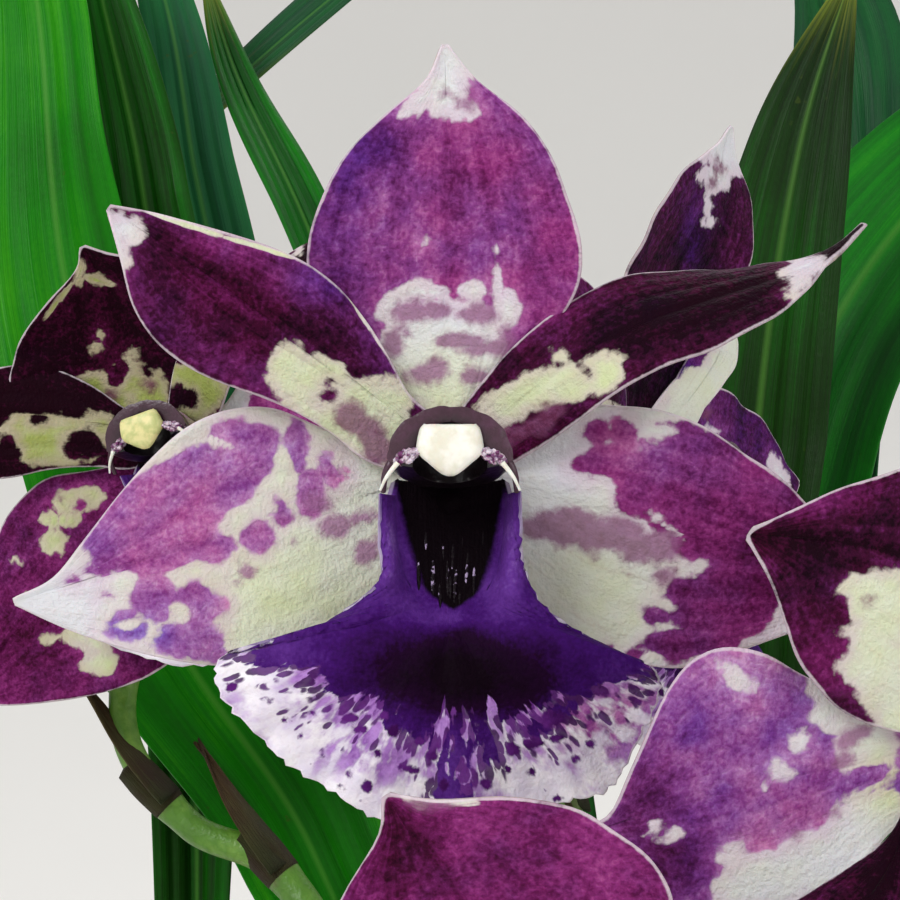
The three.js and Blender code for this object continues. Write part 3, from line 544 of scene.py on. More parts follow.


# Fired clay: orange brown, with a pale bloom of lime towards the foot
def clayFinish():
    f = Finish("firedClay", Roughness=0.86, Specular_IOR_Level=0.22)
    height = f.add("ShaderNodeSeparateXYZ", {"Vector": f.place}).outputs["Z"]
    cloud = f.noise(28, 5, rough=0.6)
    blot = f.noise(110, 4, rough=0.65)
    grit = f.noise(1400, 3)
    band = f.add("ShaderNodeCombineXYZ", {"Z": f.times(height, 620)}).outputs[0]
    turning = f.noise(1.0, 2, band)
    clay = f.ramp(f.stir(0.5, cloud, 0.22, grit, 0.1, turning, 0.06),
                  (0.0, "#cf8a5c"), (1.0, "#8d4a2b"), (0.5, "#b5673f"))
    foot = f.remap(height, 0.002, 0.05, 0.55, -0.25, smooth=False)
    lime = f.remap(f.stir(foot, cloud, 0.45, blot, 0.35), 0.05, 0.85, 0.0, 0.62)
    colour = f.mix(lime, clay, "#ddcdb8")
    speck = f.remap(f.stir(f.noise(420, 2), blot, 0.5), 0.85, 1.25, 0.0, 0.5)
    colour = f.mix(speck, colour, "#6d3a24")
    f.colour(colour)
    f.bump(f.stir(f.times(grit, 0.45), turning, 0.35, blot, 0.3), 0.5, 0.0005)
    return f.material


# Bark chips: red brown to grey, each chip its own shade, fibrous along its length
def barkFinish():
    f = Finish("barkChips", Roughness=0.88, Specular_IOR_Level=0.2)
    fibre = f.noise(900, 4, rough=0.65)
    cloud = f.noise(150, 3)
    shade = f.stir(f.mark("shade"), fibre, 0.2, cloud, 0.14)
    bark = f.ramp(shade, (0.0, "#2e1b12"), (1.0, "#b58a62"), (0.3, "#553320"), (0.55, "#7c4d31"), (0.8, "#95694a"))
    f.colour(bark)
    f.bump(f.stir(f.times(fibre, 0.6), cloud, 0.4), 0.8, 0.001)
    return f.material


finishes = {
    "tepal": tepalFinish(), "lip": lipFinish(), "column": columnFinish(), "cap": capFinish(), "wing": wingFinish(),
    "callus": callusFinish(), "leaf": leafFinish(), "stalk": stalkFinish(), "paper": paperFinish(),
    "bulb": bulbFinish(), "clay": clayFinish(), "bark": barkFinish(),
}
print("finishes made:", len(finishes))


# A Geometry Nodes tree with named inputs, and its result as a plain mesh object
class Growth(NodeTree):
    def __init__(self, name, inputs):
        self.tree = bpy.data.node_groups.new(name, "GeometryNodeTree")
        for label, kind in inputs.items():
            self.tree.interface.new_socket(name=label, in_out="INPUT", socket_type="NodeSocket" + kind)
        self.tree.interface.new_socket(name="Geometry", in_out="OUTPUT", socket_type="NodeSocketGeometry")
        self.given = self.tree.nodes.new("NodeGroupInput").outputs
        self.result = self.tree.nodes.new("NodeGroupOutput").inputs["Geometry"]

    def finish(self, geometry):
        realized = self.add("GeometryNodeRealizeInstances", {"Geometry": geometry}).outputs["Geometry"]
        coated = self.add("GeometryNodeSetMaterial", {"Geometry": realized, "Material": self.given["Material"]})
        self.tree.links.new(coated.outputs["Geometry"], self.result)

    def grow(self, base, name, **settings):
        modifier = base.modifiers.new("grow", "NODES")
        modifier.node_group = self.tree
        for item in self.tree.interface.items_tree:
            if item.in_out == "INPUT" and item.name in settings:
                modifier[item.identifier] = settings[item.name]
        shown = base.evaluated_get(bpy.context.evaluated_depsgraph_get())
        mesh = bpy.data.meshes.new_from_object(shown)
        mesh.name = name
        bpy.data.objects.remove(base)
        return placeObject(name, mesh)


# Round strands along the edges of a mesh of lines, as thick as each point's radius mark says
def strandGrowth():
    g = Growth("strandsAlongLines", {"Geometry": "Geometry", "Sides": "Int", "Material": "Material"})
    curve = g.add("GeometryNodeMeshToCurve", {"Mesh": g.given["Geometry"]}).outputs["Curve"]
    radius = g.add("GeometryNodeInputNamedAttribute", {"Name": "radius"}, data_type="FLOAT").outputs["Attribute"]
    thick = g.add("GeometryNodeSetCurveRadius", {"Curve": curve, "Radius": radius}).outputs["Curve"]
    profile = g.add("GeometryNodeCurvePrimitiveCircle", {"Resolution": g.given["Sides"], "Radius": 1.0})
    tube = g.add("GeometryNodeCurveToMesh", {"Curve": thick, "Profile Curve": profile.outputs["Curve"],
                                             "Fill Caps": True})
    if "Scale" in tube.inputs:
        g.tree.links.new(radius, tube.inputs["Scale"])
    smooth = g.add("GeometryNodeSetShadeSmooth", {"Geometry": tube.outputs["Mesh"], "Shade Smooth": True})
    g.finish(smooth.outputs["Geometry"])
    return g


strands = strandGrowth()


# Lines is a list of (points in mm, radii in mm, crest marks); the crest mark places painted highlights on the
# callus
def growStrands(name, lines, sides, material):
    points, edges, radii, crestHighlights = [], [], [], []
    for line, radius, crest in lines:
        start = len(points)
        points += (np.asarray(line) * mm).tolist()
        edges += [(start + k, start + k + 1) for k in range(len(line) - 1)]
        radii += list(np.broadcast_to(radius, len(line)) * mm)
        crestHighlights += list(np.broadcast_to(crest, len(line)))
    mesh = bpy.data.meshes.new(name + "Lines")
    mesh.from_pydata(points, edges, [])
    setMark(mesh, "radius", radii)
    setMark(mesh, "crest", crestHighlights)
    return strands.grow(placeObject(name + "Lines", mesh), name, Sides=sides, Material=material)


# Where points of the object are seen in the photograph's frame, in pixels, and the millimetres of a pixel there
def seenAt(points):
    depth = points[..., 1] - photoView["eye"][1] / mm
    perPixel = depth * photoView["sensor"] / (photoView["lens"] * photoView["pixels"])
    x = photoView["pixels"] / 2 + (points[..., 0] - photoView["eye"][0] / mm) / perPixel
    y = photoView["pixels"] / 2 - (points[..., 2] - photoView["eye"][2] / mm) / perPixel
    return x, y, perPixel


# How far inside an ellipse (x, y, its half sizes, its turn clockwise) a place is, negative outside
def insidePatch(x, y, patch):
    px, py, rx, ry, *turn = patch
    angle = math.radians(turn[0] if turn else 0)
    u = (x - px) * math.cos(angle) + (y - py) * math.sin(angle)
    v = (y - py) * math.cos(angle) - (x - px) * math.sin(angle)
    share = np.hypot(u / rx, v / ry)
    reach = np.where(share > 1e-3, np.hypot(u, v) / np.maximum(share, 1e-3), min(rx, ry))
    return (1 - share) * reach


# A mark of pale and purple patches painted over each other where seen(s, t) says that a point shows; above 0 is
# pale, and the value is the way to the edge in mm
def paintedField(seen, base, layers):
    def field(s, t):
        x, y, perPixel = seen(s, t)
        value = np.full(np.shape(x), 60.0 if base == "pale" else -60.0)
        for kind, patches in layers:
            for patch in patches:
                inside = insidePatch(x, y, patch)
                value = np.maximum(value, inside) if kind == "pale" else np.minimum(value, -inside)
        return value * perPixel
    return field


# A mark of soft spots (x, y, half sizes, amount) added up
def softField(seen, base, spots):
    def field(s, t):
        x, y, _ = seen(s, t)
        total = np.full(np.shape(x), float(base))
        for px, py, rx, ry, amount in spots:
            total += amount * np.exp(-((x - px) / rx) ** 2 - ((y - py) / ry) ** 2)
        return total
    return field


# Tepals, in the bloom's own frame: x to the viewer's right, y up, z towards the viewer, the column's foot at 0.
# Each has a spine and its half widths on both sides; cup bends its edges to the viewer, roll turns it on its spine.
tepals = {
    "dorsal_sepal": {
        "spine": [[0, 0, -1.7], [0, 8, -1.4], [0, 16, -0.4], [-0.2, 24.2, 1.2], [-0.4, 31.1, 2.6]],
        "plus": [2, 3.8, 6, 8.6, 10.2, 10.3, 9.3, 8, 5.8, 2.4, 0.25],
        "minus": [2, 4, 6.4, 9.2, 11.1, 11.2, 10.2, 8.3, 5.2, 1.7, 0.25], "cup": [0, 0.1, 0.16, 0.12, 0.05],
        "roll": [0, 0, 0], "wave": 0.3, "creases": [(-0.5, 0.1), (0, 0.2), (0.45, 0.1)],
    },
    "left_lateral_sepal": {
        "spine": [[-2, -3, -1.7], [-10, -5.6, -1.2], [-18.3, -7.9, -0.2], [-26.4, -10.4, 1], [-34.4, -12.8, 2.2]],
        "plus": [2.5, 3.9, 6.3, 8.8, 9.7, 9.3, 7.7, 5.6, 3.2, 0.9, 0.25],
        "minus": [3, 5.2, 8, 9.9, 10.8, 10.6, 9.5, 7.8, 5.7, 3.3, 0.25], "cup": [0, 0.04, 0.06, 0.04, 0],
        "roll": [0, 2, 4], "wave": 0.35, "creases": [(-0.4, 0.1), (0, 0.14), (0.4, 0.1)],
    },
    "right_lateral_sepal": {
        "spine": [[2, -3, -1.7], [10, -5.4, -1.2], [18.2, -7.6, -0.2], [26.4, -9.8, 0.8], [34.4, -12, 1.6]],
        "plus": [3, 5.2, 7.6, 9.6, 10.8, 10.6, 9.9, 7.8, 5.4, 3, 0.25],
        "minus": [2.5, 4.3, 7.8, 8.8, 9.2, 8.8, 7.6, 6.4, 4.3, 2, 0.25], "cup": [0, 0.04, 0.06, 0.04, 0],
        "roll": [0, 0, 0], "wave": 0.35, "creases": [(-0.4, 0.1), (0, 0.14), (0.4, 0.1)],
    },
    "left_petal": {
        "spine": [[-1.8, 0.3, -0.9], [-8.1, 4.8, 1.2], [-14.3, 9.2, 3.4], [-20.4, 13.6, 5.4], [-26.2, 17.8, 7]],
        "plus": [1.6, 1.8, 3.3, 4.6, 5.4, 5.5, 4.9, 3.9, 2.8, 1.65, 0.25],
        "minus": [3.6, 4.4, 4.2, 4.4, 5, 5.9, 6.4, 6.2, 5, 2.6, 0.25], "cup": [0, -0.06, -0.08, -0.04, 0.05],
        "roll": [0, 0, 0], "wave": 0.2, "creases": [(-0.55, 0.16), (-0.18, 0.22), (0.15, 0.3), (0.5, 0.16)],
    },
    "right_petal": {
        "spine": [
            [2.4, 0.5, -0.9], [8, 5, 1], [14, 8.6, 2.2], [20, 10.8, 1.8], [26, 12.8, 0.4], [30.2, 14.8, -1.6],
            [33.8, 17.8, -4],
        ],
        "plus": [3.4, 4.0, 4.2, 4.1, 4.3, 4.6, 3.7, 2.2, 0.9, 0.5, 0.25],
        "minus": [2.4, 3.4, 4.3, 5.0, 5.2, 4.7, 3.7, 2.6, 1.3, 0.5, 0.25], "cup": [0, -0.06, -0.1, -0.2, -0.3],
        "roll": [0, 24, 44, 50, 56], "wave": 0.15, "creases": [(-0.5, 0.12), (0, 0.25), (0.5, 0.12)],
    },
}

# A bloom's vary changes single tepals: turn and lift move one, broad and long stretch it, lean makes one side
# broader than the other, late moves its breadth towards the tip, curve bends it sideways and bow to the viewer.
# Its wild adds small differences of every kind, and its lip is the lip's share of the full length. Mirror swaps
# left and right.
blooms = {
    "bloom_main": {"order": 0, "wild": 0, "centre": [0, -60, 300], "yaw": 0, "nod": 0, "roll": 0},
    "bloom_lower_right": {
        "order": 1, "wild": 0.3, "centre": [45, -72, 281.5], "yaw": 8, "nod": 0, "roll": 2,
        "vary": {
            "left_petal": {"turn": 7, "broad": 2, "long": 0.87, "lean": 0.15, "late": 0.6, "curve": 3},
            "left_lateral_sepal": {"turn": -8, "broad": 1.1, "late": 2.1},
        },
    },
    "bloom_lower_front": {
        "order": 2, "wild": 0.3, "centre": [12, -87, 250.3], "yaw": -2, "nod": 6, "roll": 30,
        "vary": {
            "dorsal_sepal": {"broad": 1.2, "late": 1.3}, "right_petal": {"turn": -8, "lift": -8, "long": 0.85},
            "right_lateral_sepal": {"turn": -8, "lift": -8, "long": 0.9},
        },
    },
    "bloom_behind": {
        "order": 3, "wild": 0.3, "centre": [19, -18, 297.6], "yaw": 55, "nod": 0, "roll": -8,
        "vary": {
            "dorsal_sepal": {
                "turn": -13, "long": 1.18, "broad": 0.84, "lean": 0.12, "bow": 2, "curve": -3, "late": 1.2,
            },
            "left_lateral_sepal": {"turn": 6, "lift": -8}, "left_petal": {"lift": -6},
            "right_petal": {"turn": 21, "lift": -2, "long": 0.78, "broad": 0.48},
            "right_lateral_sepal": {"turn": 24, "long": 0.9, "broad": 1.12},
        },
    },
    "bloom_lowest": {
        "order": 4, "wild": 0.8, "mirror": True, "centre": [-26, -60, 217], "yaw": -38, "nod": 8, "roll": 8,
    },
    "bloom_left": {
        "order": 5, "wild": 0.3, "centre": [-32, 17, 302], "yaw": -12, "nod": 0, "roll": 19, "lip": 0.88,
        "vary": {
            "dorsal_sepal": {"lift": 6, "long": 0.68, "broad": 1.25, "lean": -0.1},
            "left_lateral_sepal": {"turn": 13, "broad": 1.25, "long": 1.1, "lean": -0.15},
            "left_petal": {"turn": 12, "broad": 1.12}, "right_petal": {"turn": 5, "long": 0.85},
        },
    },
    "bloom_far_left": {"order": 6, "wild": 0.8, "centre": [-84, 52, 296], "yaw": -110, "nod": 6, "roll": -12},
}
tepalSize = {
    "thick": 0.72, "edgeThick": 0.3, "main": [110, 60], "plain": [56, 32], "boss": [3.4, 3.6, 2.1],
    "bossDrop": -0.8, "bossBack": 4.1,
}

# The blooms' markings, as they are seen in the photograph's frame. Layers are painted one over the other;
# freckles are dusky mauve spots over them; deeps darken, greens warm the ground and blues cool the purple softly.
# Deep values and deeps are partly the purple's own tone and partly painted shade where a tepal faces away or lies
# under another; negative deeps are partly painted light.
tepalMarks = {
    ("bloom_main", "dorsal_sepal"): {
        "base": "purple", "deep": 0.38, "blue": 0.1, "green": 0.12,
        "layers": [
            ("pale", [
                (447, 78, 26, 45), (462, 112, 20, 14), (412, 110, 18, 6, -20), (424, 96, 22, 12, -35),
                (424, 244, 5, 5), (498, 247, 4, 5), (443, 356, 64, 62), (499, 282, 10, 20), (428, 292, 28, 9),
                (470, 290, 18, 9), (398, 308, 24, 16), (508, 305, 12, 22),
            ]),
        ],
        "freckles": [
            (466, 105, 11, 10), (449, 93, 5, 3), (466, 89, 6, 4), (425, 311, 34, 12), (473, 315, 22, 9),
            (405, 332, 8, 6), (462, 340, 28, 8), (488, 348, 24, 9), (430, 373, 22, 13), (478, 378, 18, 9),
            (395, 345, 8, 12), (508, 348, 8, 20),
        ],
        "deeps": [
            (385, 145, 40, 34, 0.16), (330, 230, 26, 60, 0.1), (560, 220, 26, 60, 0.08), (430, 230, 60, 30, -0.08),
            (545, 270, 24, 50, 0.12), (345, 290, 24, 30, 0.1), (470, 175, 30, 20, 0.08), (440, 150, 20, 16, -0.06),
        ],
        "greens": [(440, 400, 60, 50, 0.6)],
        "blues": [
            (372, 150, 44, 44, 0.5), (335, 230, 24, 60, 0.3), (500, 170, 50, 30, -0.25), (440, 215, 26, 26, -0.2),
        ],
    },
    ("bloom_main", "left_petal"): {
        "base": "purple", "deep": 0.68, "blue": 0.08, "green": 0.75,
        "layers": [
            ("pale", [
                (118, 228, 26, 20), (120, 250, 10, 24, -15), (222, 236, 82, 3, 17.5), (372, 332, 42, 3, 55),
                (296, 368, 32, 22, 25), (288, 384, 22, 20, 50), (345, 395, 55, 28, 32), (385, 400, 28, 24),
                (322, 412, 46, 20, 35), (350, 432, 40, 20, 40), (395, 440, 22, 40),
            ]),
            ("purple", [(354, 370, 10, 6, 30), (329, 380, 7, 6), (327, 395, 5, 5)]),
        ],
        "freckles": [(362, 425, 34, 17, 40), (382, 452, 24, 16)],
        "deeps": [
            (210, 245, 60, 12, -0.12), (325, 285, 50, 24, -0.2), (240, 330, 60, 20, 0.04), (170, 270, 30, 16, 0.06),
        ],
        "greens": [(118, 228, 40, 40, -0.7), (372, 332, 30, 30, -0.3)],
        "blues": [(325, 275, 46, 30, 0.6), (375, 345, 22, 34, 0.5), (250, 310, 60, 20, -0.15)],
    },
    ("bloom_main", "right_petal"): {
        "base": "purple", "deep": 0.86, "green": 0.8,
        "layers": [
            ("pale", [
                (803, 270, 26, 10, -16), (797, 288, 10, 15, 30), (580, 380, 50, 22, -12), (532, 392, 45, 20, -22),
                (608, 365, 18, 12), (563, 358, 9, 9), (505, 410, 26, 22),
            ]),
            ("purple", [(587, 372, 5, 4), (852, 238, 24, 5, -45)]),
        ],
        "freckles": [(540, 421, 30, 10, -28), (512, 434, 24, 13, -20)],
        "deeps": [
            (550, 320, 44, 34, -0.22), (620, 300, 60, 14, -0.08), (720, 310, 60, 18, 0.08), (850, 240, 25, 25, 0.3),
        ],
        "greens": [(806, 270, 30, 30, -0.7)],
    },
    ("bloom_main", "left_lateral_sepal"): {
        "base": "pale", "deep": 0.2, "blue": 0.14, "green": 0.4,
        "layers": [
            ("purple", [(178, 498, 112, 43, -30), (200, 545, 40, 20), (240, 440, 38, 22), (140, 560, 55, 12)]),
            ("pale", [(219, 442, 14, 3, 22)]),
            ("purple", [
                (97, 570, 16, 8), (73, 580, 9, 4), (107, 595, 8, 4), (298, 445, 13, 32), (309, 490, 17, 24),
                (328, 468, 12, 20, -20), (282, 508, 10, 16, -15), (255, 538, 17, 16), (155, 600, 28, 22),
                (195, 605, 27, 25), (190, 640, 35, 20), (125, 622, 23, 14), (205, 652, 22, 10),
            ]),
            ("pale", [(180, 617, 10, 12, 20), (130, 626, 10, 4, -5)]),
        ],
        "freckles": [
            (335, 527, 22, 14), (360, 518, 16, 6, -12), (367, 552, 15, 13), (247, 571, 8, 5), (235, 582, 5, 4),
            (228, 611, 7, 5), (293, 543, 4, 4), (318, 505, 14, 10),
        ],
        "deeps": [
            (150, 520, 60, 40, 0.05), (270, 425, 40, 14, 0.1), (110, 560, 40, 20, 0.12), (190, 630, 50, 26, 0.08),
        ],
        "greens": [(290, 600, 110, 60, 0.35), (60, 600, 60, 50, -0.6), (230, 430, 60, 20, -0.2)],
        "blues": [(140, 635, 50, 16, 0.6), (105, 540, 40, 30, 0.2)],
    },
    ("bloom_main", "right_lateral_sepal"): {
        "base": "pale", "deep": 0.5, "blue": -0.05, "green": 0.2,
        "layers": [
            ("purple", [
                (605, 462, 32, 17), (640, 470, 28, 22), (637, 497, 22, 18), (690, 460, 55, 35, 20),
                (735, 500, 85, 75), (720, 600, 60, 40), (690, 592, 24, 12), (690, 645, 50, 16),
            ]),
            ("pale", [
                (655, 519, 9, 6), (673, 531, 18, 2.5, 38), (690, 568, 16, 6, -20), (665, 605, 8, 5),
                (655, 430, 25, 8),
            ]),
            ("purple", [
                (596, 432, 13, 12), (625, 433, 13, 14), (656, 617, 15, 10), (610, 648, 8, 5), (637, 655, 10, 5),
            ]),
        ],
        "freckles": [
            (560, 527, 40, 21), (610, 535, 40, 19), (650, 545, 35, 17), (637, 558, 18, 12), (660, 575, 12, 7),
        ],
        "deeps": [(790, 575, 50, 50, 0.25), (635, 450, 44, 34, -0.2), (700, 470, 50, 30, -0.06)],
        "greens": [(590, 590, 80, 60, 0.4), (570, 440, 60, 40, -0.3)],
    },
    ("bloom_left", "dorsal_sepal"): {
        "base": "purple", "deep": 0.97, "blue": -0.2, "green": 1.5,
        "layers": [
            ("pale", [
                (105, 392, 34, 20, 25), (130, 372, 16, 30, 10), (150, 395, 22, 26), (98, 340, 5, 14, 20),
                (80, 272, 7, 15, 10), (98, 279, 22, 4, 14), (58, 300, 26, 3.5, -52),
            ]),
            ("purple", [(118, 372, 7, 16, 20), (146, 362, 6, 16, -10)]),
        ],
        "freckles": [(112, 395, 6, 5), (152, 385, 8, 7)],
    },
    ("bloom_left", "left_petal"): {
        "base": "purple", "deep": 1.0, "blue": -0.2, "green": 1.45,
        "layers": [
            ("pale", [(50, 440, 56, 27, 5), (96, 425, 20, 14)]),
            ("purple", [(87, 446, 20, 14, 10), (8, 455, 12, 20), (40, 418, 10, 5)]),
        ],
    },
    ("bloom_left", "right_petal"): {
        "base": "purple", "deep": 0.95, "blue": -0.2, "green": 1.45,
        "layers": [
            ("pale", [(188, 392, 40, 30, -10), (288, 240, 20, 22)]),
            ("purple", [(182, 398, 18, 12), (286, 248, 9, 7)]),
        ],
        "greens": [(288, 240, 30, 30, -1.4)],
    },
    ("bloom_left", "left_lateral_sepal"): {
        "base": "purple", "deep": 0.56, "blue": -0.2, "green": 1.2,
        "layers": [
            ("pale", [
                (78, 500, 30, 14, -10), (55, 545, 12, 18), (60, 520, 22, 7), (88, 640, 26, 14, 20),
                (100, 662, 20, 12), (28, 600, 6, 9), (18, 560, 8, 4), (50, 640, 10, 5), (10, 500, 9, 6),
            ]),
            ("purple", [(82, 505, 7, 5), (56, 560, 6, 5)]),
        ],
        "freckles": [(60, 500, 6, 4), (74, 600, 9, 8)], "deeps": [(40, 640, 50, 40, 0.12)],
        "greens": [(95, 655, 40, 30, -0.5), (20, 545, 30, 40, -0.5)],
    },
    ("bloom_lower_right", "left_petal"): {
        "base": "purple", "deep": 0.74, "blue": -0.1, "green": 0.6,
        "layers": [
            ("pale", [(888, 610, 52, 38, 40), (870, 655, 38, 46, 15), (895, 690, 30, 60)]),
            ("purple", [(835, 645, 7, 9)]),
        ],
        "freckles": [(868, 600, 4, 3), (846, 690, 6, 4)], "deeps": [(800, 500, 50, 20, -0.18)],
    },
    ("bloom_lower_right", "left_lateral_sepal"): {
        "base": "purple", "deep": 0.26, "blue": 0.3, "green": 0.12,
        "layers": [
            ("pale", [
                (730, 672, 16, 6, 20), (744, 684, 18, 8, 25), (716, 662, 5, 3), (816, 690, 9, 20, -14),
                (824, 712, 20, 14, -30), (800, 742, 18, 12, -40), (778, 772, 12, 16, 20), (764, 788, 8, 8),
                (868, 745, 34, 44), (838, 722, 16, 12), (652, 822, 24, 2.5, 8), (664, 831, 22, 2, 12),
                (656, 838, 14, 1.5, 12), (800, 872, 96, 36, -14), (862, 830, 50, 34, -30), (728, 852, 20, 12, -30),
            ]),
            ("purple", [
                (846, 782, 44, 11, -18), (795, 800, 46, 19, -14), (750, 822, 24, 13, -24), (690, 875, 14, 22, 10),
            ]),
        ],
        "freckles": [
            (855, 735, 22, 8, -25), (840, 760, 16, 6, -20), (748, 846, 7, 3, -20), (770, 842, 6, 3),
            (790, 834, 5, 3), (830, 815, 12, 3, -25), (738, 838, 8, 4, -20),
        ],
        "deeps": [
            (645, 800, 34, 60, 0.34), (678, 865, 46, 34, 0.34), (700, 720, 30, 30, 0.04), (760, 655, 30, 14, -0.1),
            (795, 800, 40, 20, 0.06),
        ],
        "greens": [(885, 775, 40, 40, 0.8), (740, 870, 60, 30, 0.2)],
    },
    ("bloom_behind", "dorsal_sepal"): {
        "base": "purple", "deep": 0.84, "blue": 0.35, "green": 0.0,
        "layers": [
            ("pale", [
                (728, 148, 32, 30), (714, 176, 17, 17), (744, 166, 14, 12), (705, 203, 6, 10),
                (705, 222, 10, 5, -20),
            ]),
            ("purple", [(735, 192, 18, 9, -20)]),
        ],
        "freckles": [(716, 168, 7, 6), (710, 182, 6, 5), (712, 160, 4, 3)],
        "deeps": [(688, 240, 10, 50, -0.16), (700, 205, 18, 18, -0.1)], "blues": [(690, 240, 16, 50, 0.6)],
    },
    ("bloom_behind", "right_petal"): {
        "base": "pale", "deep": 0.5, "blue": 0.5, "green": 0.45,
        "layers": [("purple", [(684, 364, 42, 8, -36), (655, 388, 14, 8, -40)])],
    },
    ("bloom_behind", "right_lateral_sepal"): {
        "base": "purple", "deep": 0.68, "blue": 0.6, "green": 0.0,
        "layers": [("pale", [(700, 399, 9, 6), (713, 431, 9, 4, 15), (776, 474, 8, 24, -20)])],
        "freckles": [(700, 410, 12, 4)],
    },
    ("bloom_lower_front", "dorsal_sepal"): {
        "base": "purple", "deep": 0.5, "blue": -0.25, "green": 0.4,
        "layers": [("pale", [(420, 797, 24, 5, 4), (450, 800, 30, 3, 4)])], "freckles": [(430, 803, 26, 4, 4)],
        "deeps": [
            (600, 860, 50, 40, -0.06), (395, 850, 40, 60, 0.18), (540, 840, 40, 20, 0.05),
            (470, 830, 40, 14, -0.08),
        ],
    },
    ("bloom_lower_front", "right_petal"): {"base": "purple", "deep": 0.85, "green": 0.3},
}


# The main bloom is made of more faces than the others: main and plain say how many rows and columns
def fineness(name):
    return "main" if name == "bloom_main" else "plain"


def bloomTurn(bloom):
    face = turnMatrix("Z", bloom["yaw"]) @ turnMatrix("X", bloom["nod"] + 90)
    return face @ turnMatrix("Z", bloom["roll"])


# A tepal's middle surface, and its half width, at s along it and t across it
def tepalSurface(part, bloom, order, varied=True):
    shape = tepals[part]
    vary = bloom.get("vary", {}).get(part, {}) if varied else {}
    wild = lambda channel, most: most * chance(bloom["order"], order, channel) * bloom["wild"] * varied
    spin = math.radians(vary.get("turn", 0) + wild(1, 3))
    rise = vary.get("lift", 0) + wild(2, 3)
    cupMore = 1 + wild(3, 0.6)
    rollMore = wild(4, 12)
    long, broad, lean, late, curve, bow = [vary.get(key, plain) for key, plain in (
        ("long", 1), ("broad", 1), ("lean", 0), ("late", 1), ("curve", 0), ("bow", 0))]
    phase = 7 * chance(bloom["order"], order, 5)

    def halfWidth(s, t):
        widen = broad * (1 + lean * np.sign(t))
        half = np.where(t > 0, along(shape["plus"], s ** late), along(shape["minus"], s ** late))
        return half * (1 + (widen - 1) * np.minimum(4 * s, 1))

    def creases(s, t, breadth=0.55):
        total = 0 * s
        for place, depth in shape["creases"]:
            bend = place * (1 - 0.25 * s) + 0.03 * np.sin(6 * s + 9 * place + phase)
            total = total + depth * np.exp(-((t - bend) * halfWidth(s, t) / breadth) ** 2)
        return total * np.sin(np.pi * np.clip(0.06 + 0.9 * s, 0, 1)) ** 0.5

    def point(s, t):
        side, face = spineFrame(shape["spine"], s, [0, 0, 1], along(shape["roll"], s) + rollMore * s)
        half = halfWidth(s, t)
        place = along(shape["spine"], s) * [long, long, 1]
        place = place + side * (t * half + curve * np.sin(np.pi * s))[..., None]
        edge = np.abs(t) ** 5 * np.sin(np.pi * s) ** 0.6 if varied else 0
        ripple = shape["wave"] * edge * (np.sin(19 * s + phase + 2 * np.sign(t)) + 0.5 * np.sin(41 * s + 3 * phase))
        crease = -creases(s, t) * np.minimum(8 * s, 1)
        ribs = 0.004 * half * np.sin(t * 30 + 3 * np.sin(5 * s + phase)) * np.sin(np.pi * s) ** 0.5
        place = place + face * (along(shape["cup"], s) * cupMore * t * t * half + ripple + crease + ribs)[..., None]
        x = place[..., 0] * math.cos(spin) - place[..., 1] * math.sin(spin)
        y = place[..., 0] * math.sin(spin) + place[..., 1] * math.cos(spin)
        x = -x if bloom.get("mirror") and varied else x
        return np.stack([x, y, place[..., 2] + rise * s * s + bow * np.sin(np.pi * s * s) ** 2], -1)

    return point, halfWidth, creases


def tepalShape(name, part, order):
    bloom = blooms[name]
    point, halfWidth, creases = tepalSurface(part, bloom, order)
    own = (name, part) in tepalMarks
    mark = tepalMarks[name if own else "bloom_main", part]
    if own:
        seenPoint, placed = point, bloom
    else:
        seenPoint, placed = tepalSurface(part, bloom, order, varied=False)[0], blooms["bloom_main"]
    turn, centre = bloomTurn(placed), np.array(placed["centre"], float)

    def seen(s, t):
        x, y, perPixel = seenAt(seenPoint(s, t) @ turn.T + centre)
        if not own:
            shift = 5 * bloom["order"]
            x = x + 11 * np.sin(y / 23 + shift) + 6 * np.sin(x / 15 + 2 * shift)
            y = y + 11 * np.sin(x / 27 + 2 * shift) + 6 * np.sin(y / 13 + shift)
        return x, y, perPixel

    painted = lambda kind, layers: paintedField(seen, kind, layers)
    soft = lambda key: softField(seen, mark.get(key, 0), mark.get(key + "s", []))
    rows, cols = tepalSize[fineness(name)]
    thin = lambda s, t: tepalSize["edgeThick"] + (tepalSize["thick"] - tepalSize["edgeThick"]) * (
        (1 - np.abs(t) ** 3) * np.minimum(7 * (1 - s), 1))
    return bladeShape(
        point, rows, cols, thin, 0.1,
        pale=painted(mark["base"], mark.get("layers", [])),
        freckle=painted("purple", [("pale", mark.get("freckles", []))]), deep=soft("deep"), green=soft("green"),
        # vein marks the creases, where the purple is darkened as painted shade
        blue=soft("blue"), vein=lambda s, t: creases(s, t, 0.85) / 0.2,
        piece=bloom["order"] + 0.37 * order,
        rim=lambda s, t: np.minimum((1 - np.abs(t)) * halfWidth(s, t), 40 * (1 - s)),
    )


def makeTepals(name):
    bloom = blooms[name]
    radii = tepalSize["boss"]
    place = [0, tepalSize["bossDrop"], radii[2] - tepalSize["bossBack"]]
    boss = ballShape(radii, place, pale=2, green=1.4, rim=5, reverse=1)
    shape = joinShapes([boss] + [tepalShape(name, part, order) for order, part in enumerate(tepals)])
    moveShape(shape, bloomTurn(bloom), bloom["centre"])
    addPiece(name + "Tepals", shape, "tepal", "tepal_purple", name + "_tepals")


for name in blooms:
    makeTepals(name)
print("tepals made for", len(blooms), "blooms")


